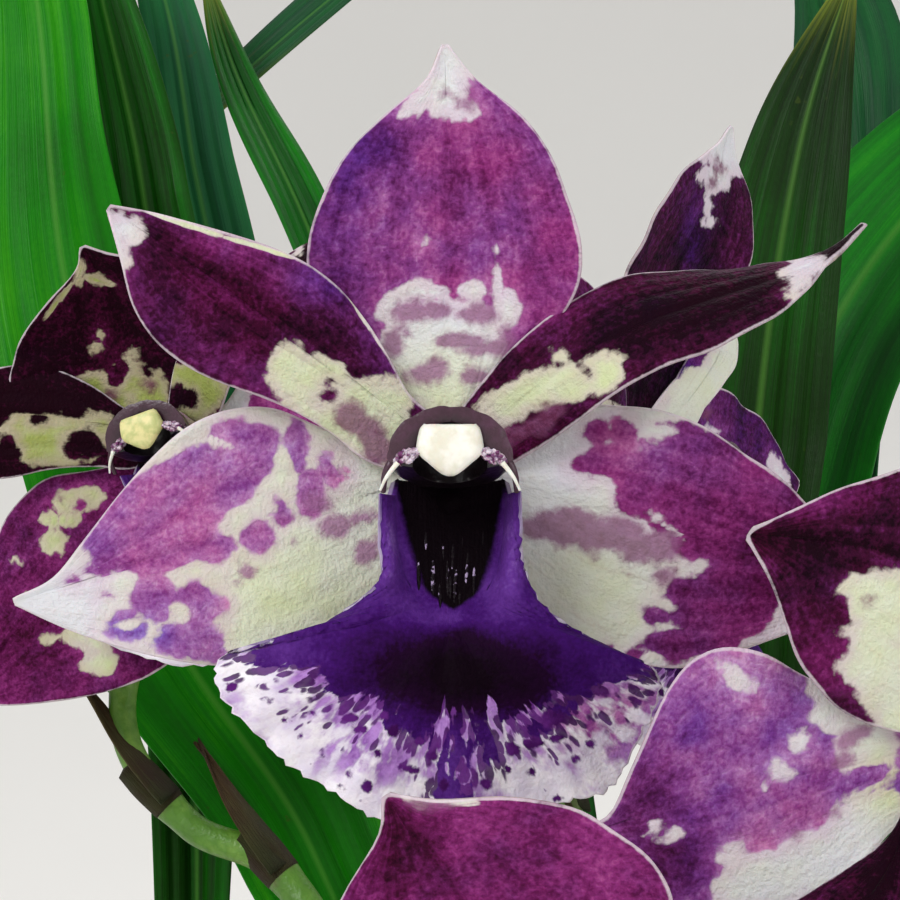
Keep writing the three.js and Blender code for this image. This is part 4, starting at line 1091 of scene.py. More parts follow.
# Lip: one sheet from the dark crest in the throat out to the fan's free margin, which runs from its upper left
# down round the fan to its upper right
lip = {
    "throatShare": 0.25, "bulge": 15, "thick": 0.7, "edgeThick": 0.28, "teeth": 0.22, "crumple": 0.16,
    "main": [150, 190], "plain": [70, 80], "crest": [4.3, -3.2, 2.2], "throat": [4.6, -4.4, 9.2, 5],
    "claw": [1.4, 1.5, 1.9], "clawCentre": [0, -5.1, 1.3],
    "margin": [
        [-5.4, -4.2], [-5.5, -7.8], [-5.4, -10.8], [-8, -13.2], [-11.3, -15.1], [-14.8, -15.8], [-17.9, -17],
        [-17.8, -19.6], [-15.2, -22.5], [-12.4, -25.2], [-8.9, -27.3], [-5.6, -29.3], [-1.9, -30.2], [1.9, -30],
        [5.6, -29.2], [9.2, -27.9], [12.3, -27], [14.2, -24], [15.9, -20.6], [16, -18], [13, -16.4], [9.8, -14.8],
        [7, -12.6], [5.7, -9.6], [5.5, -6.8], [5.4, -4],
    ],
}

# Marks of the lip in the photograph's frame: heartEdge is the lower edge of the dark heart, with heartPatches
# beyond it and cracks in it; throat is the throat's black patch in even steps from y 466 to 616, its middle
# and half its width.
lipMarks = {
    "heartEdge": [
        (180, 640), (252, 653), (289, 663), (322, 682), (338, 694), (368, 703), (396, 712), (420, 736), (439, 722),
        (457, 712), (488, 720), (515, 716), (537, 710), (558, 697), (580, 697), (628, 674), (668, 668), (720, 660),
    ],
    "heartPatches": [
        (456, 738, 13, 30), (470, 765, 10, 26, 8), (446, 768, 8, 24, -6), (484, 742, 7, 20), (432, 735, 8, 14),
        (458, 792, 16, 12), (562, 708, 18, 9, -20), (535, 724, 12, 7), (395, 722, 10, 6),
    ],
    "cracks": [
        (444, 722, 3, 24, 5), (466, 726, 3, 20, -5), (452, 758, 2.5, 20, 3), (463, 775, 2.5, 22, -5),
        (478, 760, 3, 20, 6), (438, 752, 3, 12, 10), (490, 715, 3, 14, 8),
    ],
    "shades": [
        (462, 668, 116, 44, 0.5), (466, 690, 70, 30, 0.2), (452, 622, 34, 8, -0.18), (412, 610, 22, 22, -0.1),
        (500, 600, 20, 26, -0.12), (300, 655, 50, 18, -0.06), (388, 545, 8, 50, -0.2), (513, 540, 8, 50, -0.2),
        (455, 765, 34, 30, -0.04),
    ],
    "white": [
        (250, 676, 50, 30), (280, 735, 46, 30, 40), (345, 794, 56, 26, 25), (410, 795, 44, 20), (535, 788, 56, 30),
        (600, 775, 34, 22), (495, 760, 14, 40), (560, 755, 24, 10),
    ],
    "rosy": [(595, 725, 46, 34, 1.1), (640, 700, 30, 20, 0.6)],
    # The throat's black patch is partly the callus's own black and partly painted shade deep in the throat.
    "throat": [(451, 63), (451, 59), (451, 52), (451, 47), (452, 42), (452, 35), (453, 25), (454, -8)],
    "freckles": [
        (231, 688, 8, 4), (287, 720, 6, 3), (350, 717, 9, 5), (384, 715, 5, 4), (361, 729, 8, 4), (394, 731, 7, 6),
        (419, 740, 6, 4), (402, 766, 7, 4), (416, 769, 5, 4), (367, 786, 6, 7), (350, 775, 4, 3), (342, 787, 5, 4),
        (361, 801, 3, 3), (431, 754, 6, 4), (557, 737, 7, 4), (553, 718, 12, 9), (534, 741, 10, 6),
        (512, 749, 7, 7), (531, 771, 5, 5), (558, 798, 5, 4), (485, 783, 6, 6), (300, 735, 5, 3), (322, 752, 4, 4),
        (312, 712, 6, 3), (268, 700, 6, 3), (378, 752, 4, 4), (590, 742, 5, 4), (575, 758, 4, 4), (507, 768, 4, 5),
        (445, 783, 5, 7),
    ],
}


def lipSurface(bloom, rough=True):
    sway = 2 * chance(bloom["order"], 9, 1) * bloom["wild"]
    offset = 3 * bloom["order"]

    crestHalf, crestTop, crestOut = lip["crest"]
    throatHalf, throatTop, throatDepth, throatOut = lip["throat"]

    def raw(s, t):
        share = (t + 1) / 2
        swing = math.pi / 2 * t * np.abs(t)
        level = 0 * s
        crest = np.stack([crestHalf * t, crestTop + level, crestOut - 0.6 * (1 - t * t)], -1)
        sunk = np.maximum(np.cos(swing), 0) ** 0.7
        throat = np.stack([throatHalf * np.sin(swing), throatTop - throatDepth * sunk,
                           throatOut - 1.5 * t ** 4], -1)
        ruffle = 0.5 * np.sin(9 * np.pi * t)
        rim = along(lip["margin"], share)
        shrink = 1 - (1 - bloom.get("lip", 1)) * (1 - t ** 4)
        margin = np.stack([rim[..., 0] * shrink, (rim[..., 1] + 8) * shrink - 8, 6.8 - 0.8 * t ** 4 + ruffle], -1)
        inner = s < lip["throatShare"]
        f = np.where(inner, s / lip["throatShare"], (s - lip["throatShare"]) / (1 - lip["throatShare"]))
        f3 = f[..., None]
        place = np.where(inner[..., None], crest + (throat - crest) * f3, throat + (margin - throat) * f3)
        swell = np.where(inner, 0, lip["bulge"] * (1 - t ** 4) * f * (1 - f) ** 2 + sway * f * f)
        place[..., 2] += swell
        return place

    def point(s, t):
        near = 0.022
        place = (raw(np.maximum(s - near, 0), t) + 2 * raw(s, t) + raw(np.minimum(s + near, 1), t)) / 4
        if rough:
            f = np.clip((s - lip["throatShare"]) / (1 - lip["throatShare"]), 0, 1)
            free = f ** 3 * (1 - t ** 8)
            wave = np.sin(37 * t + offset) + 0.7 * np.sin(61 * t + 2 * offset) + 0.5 * np.sin(97 * t + 3 * offset)
            veins = np.sin(118 * t + offset) * np.sin(22 * f + 5 * t)
            place[..., 2] += free * 0.2 * wave + lip["crumple"] * f * (1 - t ** 6) * veins * 0.6
            tooth = np.sin(171 * t + offset) + 0.8 * np.sin(263 * t + 2 * offset) + 0.6 * np.sin(389 * t)
            out = unit(place[..., :2] - np.array([0, -17.0]))
            place[..., :2] += out * (lip["teeth"] / 2 * tooth * f ** 14 * (1 - t ** 10))[..., None]
            place[..., 2] -= 0.35 * f ** 8 * (1 - t ** 6) * (0.5 + 0.5 * np.sin(29 * t + offset))
        place[..., 0] *= -1 if bloom.get("mirror") and rough else 1
        return place

    return point


def makeLip(name):
    bloom = blooms[name]
    point = lipSurface(bloom)
    pattern = lipSurface(blooms["bloom_main"], rough=False)
    turn, centre = bloomTurn(blooms["bloom_main"]), np.array(blooms["bloom_main"]["centre"], float)
    edge = np.array(lipMarks["heartEdge"], float)

    def seen(s, t):
        return seenAt(pattern(s, t) @ turn.T + centre)

    def heart(s, t):
        x, y, perPixel = seen(s, t)
        field = (np.interp(x, edge[:, 0], edge[:, 1]) - y) * 0.8
        for patch in lipMarks["heartPatches"]:
            field = np.maximum(field, insidePatch(x, y, patch))
        for patch in lipMarks["cracks"]:
            field = np.minimum(field, -insidePatch(x, y, patch))
        return field * perPixel

    def throat(s, t):
        x, y, perPixel = seen(s, t)
        patch = along(lipMarks["throat"], np.clip((y - 466) / 150, 0, 1))
        return (patch[..., 1] - np.abs(x - patch[..., 0])) * 0.9 * perPixel

    patches = lambda key: paintedField(seen, "purple", [("pale", lipMarks[key])])
    rows, cols = lip[fineness(name)]
    thin = lambda s, t: lip["edgeThick"] + (lip["thick"] - lip["edgeThick"]) * np.minimum(5 * (1 - s), 1)
    shape = bladeShape(
        point, rows, cols, thin, 0.06, heart=heart, throat=throat,
        deep=softField(seen, 0.42, lipMarks["shades"]), rosy=softField(seen, 0, lipMarks["rosy"]),
        white=patches("white"), freckle=patches("freckles"), rim=lambda s, t: np.minimum(22 * (1 - s), 40.0),
        fringe=lambda s, t: 1 - t ** 8, piece=bloom["order"],
    )
    # The claw sits deep in the throat and is painted black as painted shade.
    claw = ballShape(lip["claw"], lip["clawCentre"], rim=5, throat=1, heart=5, deep=1)
    shape = moveShape(joinShapes([shape, claw]), bloomTurn(bloom), bloom["centre"])
    addPiece(name + "Lip", shape, "lip", "lip_violet", name + "_lip")


# Callus: ridges that run down the throat and end in blunt teeth at its lower edge
callus = {"ridges": 13, "spread": 0.6, "radius": 0.17, "lift": 0.2, "points": 16, "sides": 10}


def makeCallus(name):
    bloom = blooms[name]
    point = lipSurface(bloom, rough=False)
    lines = []
    for k in range(callus["ridges"]):
        t = callus["spread"] * (2 * k / (callus["ridges"] - 1) - 1)
        bend = 0.02 * chance(bloom["order"], k, 3)
        s = np.linspace(0.03, lip["throatShare"] * (0.93 + 0.05 * chance(k, 5)), callus["points"])
        f = (s - s[0]) / (s[-1] - s[0])
        line = point(s, t + bend * np.sin(5 * f))
        line[:, 2] += callus["lift"] * (0.35 + 0.9 * f) + 0.12 * np.sin(9 * f + 4 * k)
        radius = callus["radius"] * (0.45 + 0.6 * f + 0.15 * np.sin(11 * f + 3 * k)) * np.minimum(1, 9 * (1.02 - f))
        # crest: where the painted highlights sit along each ridge, brighter on the outer ridges
        crest = 0.1 + (0.62 + 0.6 * abs(t)) * np.exp(-((f - 0.7 - 0.1 * chance(k, 7)) / 0.2) ** 2)
        line[:, 0] *= -1 if bloom.get("mirror") else 1
        lines.append((line @ bloomTurn(bloom).T + bloom["centre"], radius, crest))
    finishPiece(growStrands(name + "Callus", lines, callus["sides"], finishes["callus"]), "lip_violet")


# Column: an arched hood over a hollow front that holds the anther cap. Its sections, from foot to front,
# have a z, a half width, a top and a bottom.
column = {
    "sections": [[0.6, 2.4, 2.1, -2], [3.6, 3.2, 2.2, -3.7], [6.5, 4.2, 2.4, -3.4], [9.4, 4.8, 2.6, -2.3]],
    "hollowRadii": [2.9, 3.3, 3.8], "hollowCentre": [0, -1.9, 10.1], "lipRound": 0.35, "paintedShadeBelow": -1.6,
    "main": [36, 72, 28, 48], "plain": [18, 40, 16, 28],
}


def makeColumn(name):
    bloom = blooms[name]
    rings, sides, ballRings, ballSides = column[fineness(name)]
    s = np.linspace(0, 1, rings + 1)
    z, half, top, bottom = along(column["sections"], s).T[:, :, None]
    turn = roundAngles(sides)
    belly = bottom + 0.9
    rise = np.sin(turn)
    pinch = 1 - 0.045 * np.exp(-((turn - np.pi / 2) / 0.12) ** 2)
    lump = 1 + 0.012 * np.sin(7 * turn + 9 * s[:, None]) + 0.008 * np.sin(17 * turn - 14 * s[:, None])
    x = half * np.cos(turn) * lump
    y = belly + np.where(rise > 0, top - belly, 0.9) * rise * lump * pinch
    points = np.stack([x, y, z + 0 * x], -1).reshape(-1, 3)
    grid, ahead, faces = ringFaces(rings + 1, sides)
    start = len(points)
    points = np.concatenate([points, [[0, 0, z[0, 0]], [0, 0, z[-1, 0]]]])
    faces += [(start, ahead[0, k], grid[0, k]) for k in range(sides)]
    faces += [(start + 1, grid[-1, k], ahead[-1, k]) for k in range(sides)]
    solid = meshObject(name + "ColumnSolid", makeShape(points, faces), finishes["column"])
    ball = ballShape(column["hollowRadii"], column["hollowCentre"], ballRings, ballSides)
    cutter = meshObject(name + "ColumnCutter", ball, finishes["column"])
    cut = solid.modifiers.new("hollow", "BOOLEAN")
    cut.operation = "DIFFERENCE"
    cut.solver = "EXACT"
    cut.object = cutter
    soften = solid.modifiers.new("soften", "BEVEL")
    soften.width = column["lipRound"] * mm
    soften.segments = 2
    soften.limit_method = "ANGLE"
    soften.angle_limit = math.radians(38)
    mesh = bpy.data.meshes.new_from_object(solid.evaluated_get(bpy.context.evaluated_depsgraph_get()))
    mesh.name = name + "Column"
    for helper in (solid, cutter):
        bpy.data.objects.remove(helper)
    place = np.empty(3 * len(mesh.vertices), np.float32)
    mesh.vertices.foreach_get("co", place)
    place = place.reshape(-1, 3) / mm
    # hollow mark: painted shade, nearly black inside the cut hollow and along the hood's front below the set height
    deep = np.linalg.norm((place - column["hollowCentre"]) / column["hollowRadii"], axis=1) < 1.03
    inner = np.maximum(deep * np.clip((10.2 - place[:, 2]) / 1.6, 0, 1),
                       np.clip((column["paintedShadeBelow"] - place[:, 1]) / 0.4, 0, 1))
    setMark(mesh, "hollow", inner)
    mesh.transform(Matrix(bloomTurn(bloom).tolist()).to_4x4())
    mesh.transform(Matrix.Translation(Vector(bloom["centre"]) * mm))
    mesh.shade_smooth()
    finishPiece(placeObject(name + "Column", mesh), "column_maroon", name + "_column")


# Anther cap: a domed shield, widest below its flat top, in a bloom's own frame
cap = {
    "back": 9.75, "dome": 0.95, "rows": 30, "cols": 34,
    "outline": [
        [1.12, 1.95], [0.85, 2.2], [0.35, 2.36], [-0.2, 2.46], [-0.7, 2.5], [-1.15, 2.3], [-1.6, 1.75],
        [-2.05, 1.2], [-2.45, 0.65], [-2.72, 0.1],
    ],
}


def makeCap(name):
    bloom = blooms[name]
    heights, halves = np.array(cap["outline"]).T

    def dome(s, t):
        ends = np.sin(np.pi * np.clip(0.04 + 0.96 * s, 0, 1)) ** 0.42
        ridge = 0.03 * np.exp(-(t / 0.16) ** 2) * (1 - s) + 0.02 * np.sin(9 * t + 3 * s)
        return np.maximum(cap["dome"] * (1 - t ** 4) ** 0.6 * ends + ridge * ends, 0.12)

    def point(s, t):
        y = along(heights, s) - 0.1 * (1 - t * t) * (1 - s)
        return np.stack([t * along(halves, s), y, cap["back"] + dome(s, t) / 2], -1)

    shape = bladeShape(point, cap["rows"], cap["cols"], dome, 0.08)
    shape["marks"]["green"] = np.full(len(shape["points"]), 0.85 if name == "bloom_left" else 0.06)
    moveShape(shape, bloomTurn(bloom), bloom["centre"])
    addPiece(name + "AntherCap", shape, "cap", "cap_ivory", name + "_anther_cap")


# Wings of the column: crumpled scraps at the hood's lower corners, and a white filament that hangs from each
wings = {
    "rows": 26, "cols": 18, "thick": 0.3, "centre": [3.3, -1.3, 9.7], "half": [0.9, 0.5],
    "filament": {"points": [[3.95, -1.75, 9.7], [4.45, -2.35, 9.7], [4.9, -3.0, 9.6], [5.3, -3.85, 9.3]],
                 "radii": [0.22, 0.1], "steps": 14, "sides": 10, "crest": 1},
    "arm": {"points": [[3.7, -0.9, 8.4], [4.5, -1.8, 9.0], [4.95, -2.8, 8.9], [5.1, -4.0, 8.2]],
            "radii": [0.42, 0.2], "steps": 12, "sides": 12, "crest": 0},
}


def makeWings(name):
    bloom = blooms[name]
    shapes = []
    for hand in (-1, 1):
        def point(s, t):
            x = wings["centre"][0] + wings["half"][0] * (2 * s - 1)
            fade = np.sin(np.pi * np.clip(s, 0.02, 0.98)) ** 0.5
            y = wings["centre"][1] + wings["half"][1] * t * fade - 0.35 * (2 * s - 1)
            fold = 0.28 * np.sin(9 * s + 5 * t + 3 * hand + bloom["order"])
            fold += 0.2 * np.sin(17 * s - 11 * t + 2 * hand)
            return np.stack([hand * (x + 0.1 * np.sin(7 * t)), y, wings["centre"][2] + fold - 0.5 * s], -1)
        shapes.append(bladeShape(point, wings["rows"], wings["cols"], wings["thick"], 0.06))
    shape = moveShape(joinShapes(shapes), bloomTurn(bloom), bloom["centre"])
    addPiece(name + "Wings", shape, "wing", "column_maroon")
    for kind, finish, slotName in (("filament", "cap", "cap_ivory"), ("arm", "column", "column_maroon")):
        strand = wings[kind]
        lines = []
        for hand in (-1, 1):
            line = along(np.array(strand["points"]) * [hand, 1, 1], np.linspace(0, 1, strand["steps"]))
            lines.append((line @ bloomTurn(bloom).T + bloom["centre"],
                          np.linspace(*strand["radii"], strand["steps"]), strand["crest"]))
        finishPiece(growStrands(name + kind.title() + "s", lines, strand["sides"], finishes[finish]), slotName)


for name in blooms:
    makeLip(name)
    makeCallus(name)
    makeColumn(name)
    makeCap(name)
    makeWings(name)
print("lips, columns and caps made")


# Leaves: strap blades folded at the foot, through a few points each. deep is how dark a leaf's green is,
# blue how bluish, and age how far its tip has browned.
leafSize = {
    "thick": 0.9, "edgeThick": 0.35, "rows": 130, "cols": 26, "tipHalf": 0.25, "ribs": 5, "ribHeight": 0.32,
}
leafWidth = [0.15, 0.32, 0.6, 0.82, 0.95, 1, 0.97, 0.86, 0.66, 0.36, 0.02]
leaves = {
    "leaf_left_arch": {
        "width": 24, "roll": [0, 10, 50, 62, 62, 40, 22], "deep": 0.3, "age": 0.1,
        "spine": [
            [-1.4, 5.4, 160], [-2, 27, 208], [-17, 43, 248], [-37, 50, 278], [-50, 55, 320], [-56, 64, 362],
            [-70, 90, 396],
        ],
    },
    "leaf_low_left": {
        "width": 18, "roll": [0, 20], "deep": 0.6, "blue": 0.1, "age": 0.25,
        "spine": [
            [3.4, 4.6, 160], [14, 44, 200], [2, 66, 228], [-18, 73, 249], [-38, 76, 270], [-64, 84, 276],
            [-98, 90, 262],
        ],
    },
    "leaf_centre_thin": {
        "width": 11, "roll": [0, 10], "deep": 0.55, "blue": 0.1, "age": 0.2,
        "spine": [
            [1, -0.4, 160], [16, 25, 214], [10, 53, 272], [-10, 66, 306], [-21.5, 76, 333], [-31, 86, 353],
            [-37, 96, 371],
        ],
    },
    "leaf_left_upright": {
        "width": 13, "roll": [0, 0, 10, 45, 45, 30, 22], "deep": 0.5, "blue": 0.8, "age": 0.1,
        "spine": [
            [-25, 33.6, 156], [-20, 50, 212], [-20, 63, 265], [-30, 72, 312], [-36, 77, 339], [-41, 83, 364],
            [-54, 104, 397],
        ],
    },
    "leaf_far_left": {
        "width": 14, "roll": [5, 5, 20, 42, 50, 25, 12], "deep": 0.6, "age": 0.1,
        "spine": [
            [-29.6, 31, 156], [-32, 44, 205], [-33, 53, 255], [-37, 59, 300], [-41, 62, 333], [-48, 69, 362],
            [-54, 86, 382],
        ],
    },
    "leaf_back_cross": {
        "width": 20, "roll": [0, 20, 50], "deep": 0.65, "blue": 0.5, "age": 0.2,
        "spine": [
            [37.8, 20.4, 152], [46, 50, 215], [54, 72, 280], [58, 84, 330], [54, 93, 368], [34, 100, 388],
            [8, 103, 388], [-14, 104, 371], [-34, 104, 354], [-52, 104, 336],
        ],
    },
    "leaf_right_slim": {
        "width": 19, "roll": [0, -50, -70], "deep": 0.85, "age": 0.1,
        "spine": [[36, 15, 152], [31, 25, 202], [34, 29, 252], [37, 30, 301], [42, 31, 335], [49, 33, 358]],
    },
    "leaf_right_broad": {
        "width": 29, "roll": [0, -40, -60], "deep": 0.45, "blue": 0.15, "age": 0.1,
        "spine": [
            [32.8, 19.6, 152], [32, 38, 205], [36, 48, 255], [43, 53, 296], [56, 57, 324], [80, 64, 346],
            [112, 76, 352],
        ],
    },
    "leaf_right_arch": {
        "width": 20, "roll": [0, -30], "deep": 0.35, "blue": 0.1, "age": 0.15,
        "spine": [[39, 16.6, 152], [51, 26, 205], [57, 34, 252], [66, 42, 294], [86, 48, 326], [120, 56, 334]],
    },
    "leaf_front_left": {
        "width": 22, "roll": [0, 0], "deep": 0.3, "age": 0.3,
        "spine": [[-33.4, -19.2, 138], [-49, -38, 176], [-68, -60, 196], [-92, -82, 188], [-112, -100, 150]],
    },
    "leaf_old_left": {
        "width": 20, "roll": [0, 0], "deep": 0.2, "age": 0.6,
        "spine": [[-35, -14.2, 138], [-60, -8, 184], [-94, 0, 214], [-132, 6, 214], [-162, 8, 178]],
    },
}


def makeLeaf(order, node):
    leaf = leaves[node]
    spine = leaf["spine"]
    phase = 9 * chance(order, 2)

    def point(s, t):
        side, face = spineFrame(spine, s, [0, 0, 1], along(leaf["roll"], s))
        half = leaf["width"] / 2 * along(leafWidth, s) + leafSize["tipHalf"]
        fold = 0.85 * (1 - s) ** 2 + 0.18
        bent = np.sqrt(t * t + 0.004) - 0.06
        fade = np.sin(np.pi * np.clip(s, 0, 1)) ** 0.7 * np.minimum(half / 6, 1)
        ribs = leafSize["ribHeight"] * fade * np.cos(np.pi * leafSize["ribs"] * t) * (1 - t ** 6)
        ripple = 0.45 * fade * np.abs(t) ** 4 * np.sin(23 * s + phase + 2 * np.sign(t))
        place = along(spine, s) + side * (t * half * (1 - 0.25 * fold))[..., None]
        return place + face * (bent * half * fold + ribs + ripple)[..., None]

    thin = lambda s, t: leafSize["edgeThick"] + (leafSize["thick"] - leafSize["edgeThick"]) * (
        (1 - t ** 4) * np.minimum(9 * (1 - s), 1))
    shape = bladeShape(
        point, leafSize["rows"], leafSize["cols"], thin, 0.08,
        deep=lambda s, t: leaf["deep"] + 0.12 * (0.5 - s), blue=leaf.get("blue", 0),
        age=lambda s, t: s ** 6 * 0.75 + leaf["age"] * (0.25 + 0.75 * s ** 3) + 0.1 * np.abs(t) ** 6 * s,
        piece=order * 3.1,
    )
    words = node.split("_")
    title = words[0] + "".join(word.title() for word in words[1:])
    addPiece(title, shape, "leaf", "leaf_green", node)


for order, node in enumerate(leaves):
    makeLeaf(order, node)
print("leaves made:", len(leaves))


# Flower spikes: a stalk with a stalklet to each bloom, papery bracts and end buds. joins says at what share of
# the stalk a stalklet leaves it, sag how far it hangs through; sheaths are shares of the stalk too. A bract or
# a sheath has a length, a width and how far off the stalk it clasps.
spikes = {
    "flower_spike_front": {
        "points": [
            [21, -13, 96], [21, -26, 145], [18, -36, 190], [15, -39, 226], [12, -32, 250], [10, -14, 272],
            [6, -5, 294], [3, -4, 312],
        ],
        "radii": [2.7, 2.5, 2.2, 1.9, 1.6, 1.3],
        "stalklets": [
            ("bloom_lowest", 0.46, -5), ("bloom_lower_front", 0.54, -8), ("bloom_lower_right", 0.62, -5),
            ("bloom_main", 0.66, -9), ("bloom_behind", 0.88, -1),
        ],
        "sheaths": [0.16, 0.3], "buds": [[3, -3, 318, 3.2, 8], [8, -2, 308, 2.6, 7]],
    },
    "flower_spike_rear": {
        "points": [
            [-15, 8, 96], [-18, 12, 150], [-15, 16, 200], [-13, 20, 235], [-20, 25, 249.5], [-31, 27, 254.8],
            [-39, 29, 266], [-37, 34, 284], [-33, 38, 300],
        ],
        "radii": [2.6, 2.4, 2.1, 1.8, 1.6, 1.3],
        "stalklets": [("bloom_left", 0.92, -1), ("bloom_far_left", 0.8, -3)], "sheaths": [0.14, 0.28, 0.5, 0.66],
        "buds": [[-32, 39, 306, 3.2, 8], [-28, 40, 297, 2.6, 7]],
    },
}
stalkSize = {
    "steps": 150, "sides": 22, "stalkletSteps": 48, "stalkletSides": 16, "stalkletRadii": [1.1, 1.1, 1.5, 1.9],
    "gap": 0.35, "knot": 0.28, "bract": [9, 5, 1.6], "sheath": [18, 6, 2], "collar": [-0.6, 1.2, 3.4, 6],
    "collarProud": [0.35, 0.45, 0.5, 0.3],
}


# A papery bract that clasps a stalk, with a frayed, curling tip
def bractShape(at, direction, length, width, clasp, order):
    up = unit(np.asarray(direction, float))
    side = np.cross([0, 0, 1], up)
    side = unit(side) if np.linalg.norm(side) > 0.01 else np.array([1.0, 0, 0])
    face = np.cross(side, up)

    def point(s, t):
        taper = 1 - s ** 1.6
        half = (width / 2) * taper + 0.25
        curl = 0.25 * np.sin(5 * t + 7 * s + order) * s + 0.18 * np.sin(13 * t + 3 * order) * s ** 2
        off = -clasp * (1 - 0.8 * t * t * taper) - 0.8 * s * s - curl
        tip = length * s + 0.5 * np.sin(8 * t + 2 * order) * s ** 4
        return np.asarray(at) + up * tip[..., None] + side * (t * half)[..., None] + face * off[..., None]

    return bladeShape(point, 26, 16, lambda s, t: 0.4 - 0.2 * s, 0.05, piece=order,
                      fresh=lambda s, t: 1 - 0.25 * s)


def stalkShape(points, radii, steps, sides, flush, knots=(), grooves=0, depth=0.0):
    shape = tubeShape(points, radii, steps, sides, grooves, depth)
    reach = shape["uv"][:, 1]
    middle = along(points, reach)
    swell = np.zeros(len(reach))
    for knot in knots:
        swell += np.exp(-((reach - knot) * steps / 2.4) ** 2)
    outward = unit(shape["points"] - middle)
    shape["points"] = shape["points"] + outward * (stalkSize["knot"] * swell)[:, None]
    shape["marks"]["flush"] = np.clip(flush + 0.5 * np.clip(swell, 0, 1), 0, 1)
    return shape


# A bud: three sepals folded over each other, with a seam between them, drawn out to a beak
def budShape(x, y, z, radius, half):
    shape = ballShape([1, 1, 1], [0, 0, 0], 40, 48)
    points = shape["points"]
    turn = np.arctan2(points[:, 1], points[:, 0])
    level = points[:, 2]
    twist = turn + 0.7 * level
    seam = np.exp(-((np.mod(twist * 3 / (2 * np.pi), 1) - 0.5) / 0.045) ** 2)
    girth = 1 - 0.1 * seam * (1 - np.abs(level) ** 4) + 0.05 * np.cos(3 * twist)
    beak = 1 - 0.35 * np.clip(level, 0, 1) ** 2
    shape["points"] = np.stack([points[:, 0] * radius * girth * beak, points[:, 1] * radius * girth * beak,
                                level * half], -1) * [0.96, 0.96, 1] + [x, y, z]
    shape["marks"]["flush"] = np.clip(0.55 + 0.4 * seam + 0.2 * level, 0, 1)
    return shape


def makeSpike(node):
    spike = spikes[node]
    knots = list(spike["sheaths"]) + [share for _, share, _ in spike["stalklets"]]
    stalks = [stalkShape(spike["points"], spike["radii"], stalkSize["steps"], stalkSize["sides"], 0.15, knots)]
    bracts = []
    for order, (name, share, sag) in enumerate(spike["stalklets"]):
        bloom = blooms[name]
        back = bloomTurn(bloom) @ np.array([0, 0, -1.0])
        centre = np.array(bloom["centre"], float)
        end = centre + back * (tepalSize["bossBack"] + stalkSize["gap"])
        near = centre + back * (tepalSize["bossBack"] + 9) - [0, 0, 2]
        start = along(spike["points"], np.float64(share))
        middle = (start + near) / 2 + [0, 0, sag]
        stalks.append(stalkShape([start, middle, near, end], stalkSize["stalkletRadii"], stalkSize["stalkletSteps"],
                                 stalkSize["stalkletSides"], 0.35, grooves=6, depth=0.07))
        way = tangentAlong(spike["points"], np.array([share]))[0]
        bracts.append(bractShape(start, way, *stalkSize["bract"], order))
    for order, share in enumerate(spike["sheaths"]):
        at = along(spike["points"], np.float64(share))
        way = tangentAlong(spike["points"], np.array([share]))[0]
        bracts.append(bractShape(at, way, *stalkSize["sheath"], 7 + order))
        collar = [at + way * k for k in stalkSize["collar"]]
        radii = np.array(stalkSize["collarProud"]) + along(spike["radii"], np.float64(share))
        bracts.append(tubeShape(collar, radii, 20, 26, fresh=0.95))
    stalks += [budShape(*bud) for bud in spike["buds"]]
    title = "frontSpike" if node.endswith("front") else "rearSpike"
    addPiece(title + "Stalk", joinShapes(stalks), "stalk", "stem_green", node)
    addPiece(title + "Bracts", joinShapes(bracts), "paper", "stem_green", node)


for node in spikes:
    makeSpike(node)
print("flower spikes made")


# Pseudobulbs: wrinkled ovoids with the dry sheaths of old leaves round their lower half. A sheath has the
# angle where it sits, how far round it reaches and what share of the bulb it is tall.
bulbs = {
    "pseudobulb_back_left": {"foot": [-24, 27], "radii": [13, 11], "height": 58, "lean": [-3, 4], "deep": 0.5},
    "pseudobulb_centre": {"foot": [1, 2], "radii": [14, 12], "height": 62, "lean": [0, 1], "deep": 0.55},
    "pseudobulb_right": {"foot": [31, 15], "radii": [12, 11], "height": 54, "lean": [4, 3], "deep": 0.45},
    "pseudobulb_old": {"foot": [-29, -15], "radii": [12, 10], "height": 40, "lean": [-3, -2], "deep": 0.1},
}
bulbSize = {
    "foot": 97, "rings": 70, "sides": 96, "wrinkles": 13, "wrinkleDepth": 0.035,
    "outline": [0.02, 0.62, 0.9, 1, 0.95, 0.78, 0.52, 0.3],
    "sheaths": [(0.4, 2.5, 0.55), (2.6, 2.3, 0.44), (4.6, 2.4, 0.5), (1.6, 2.0, 0.34)],
}


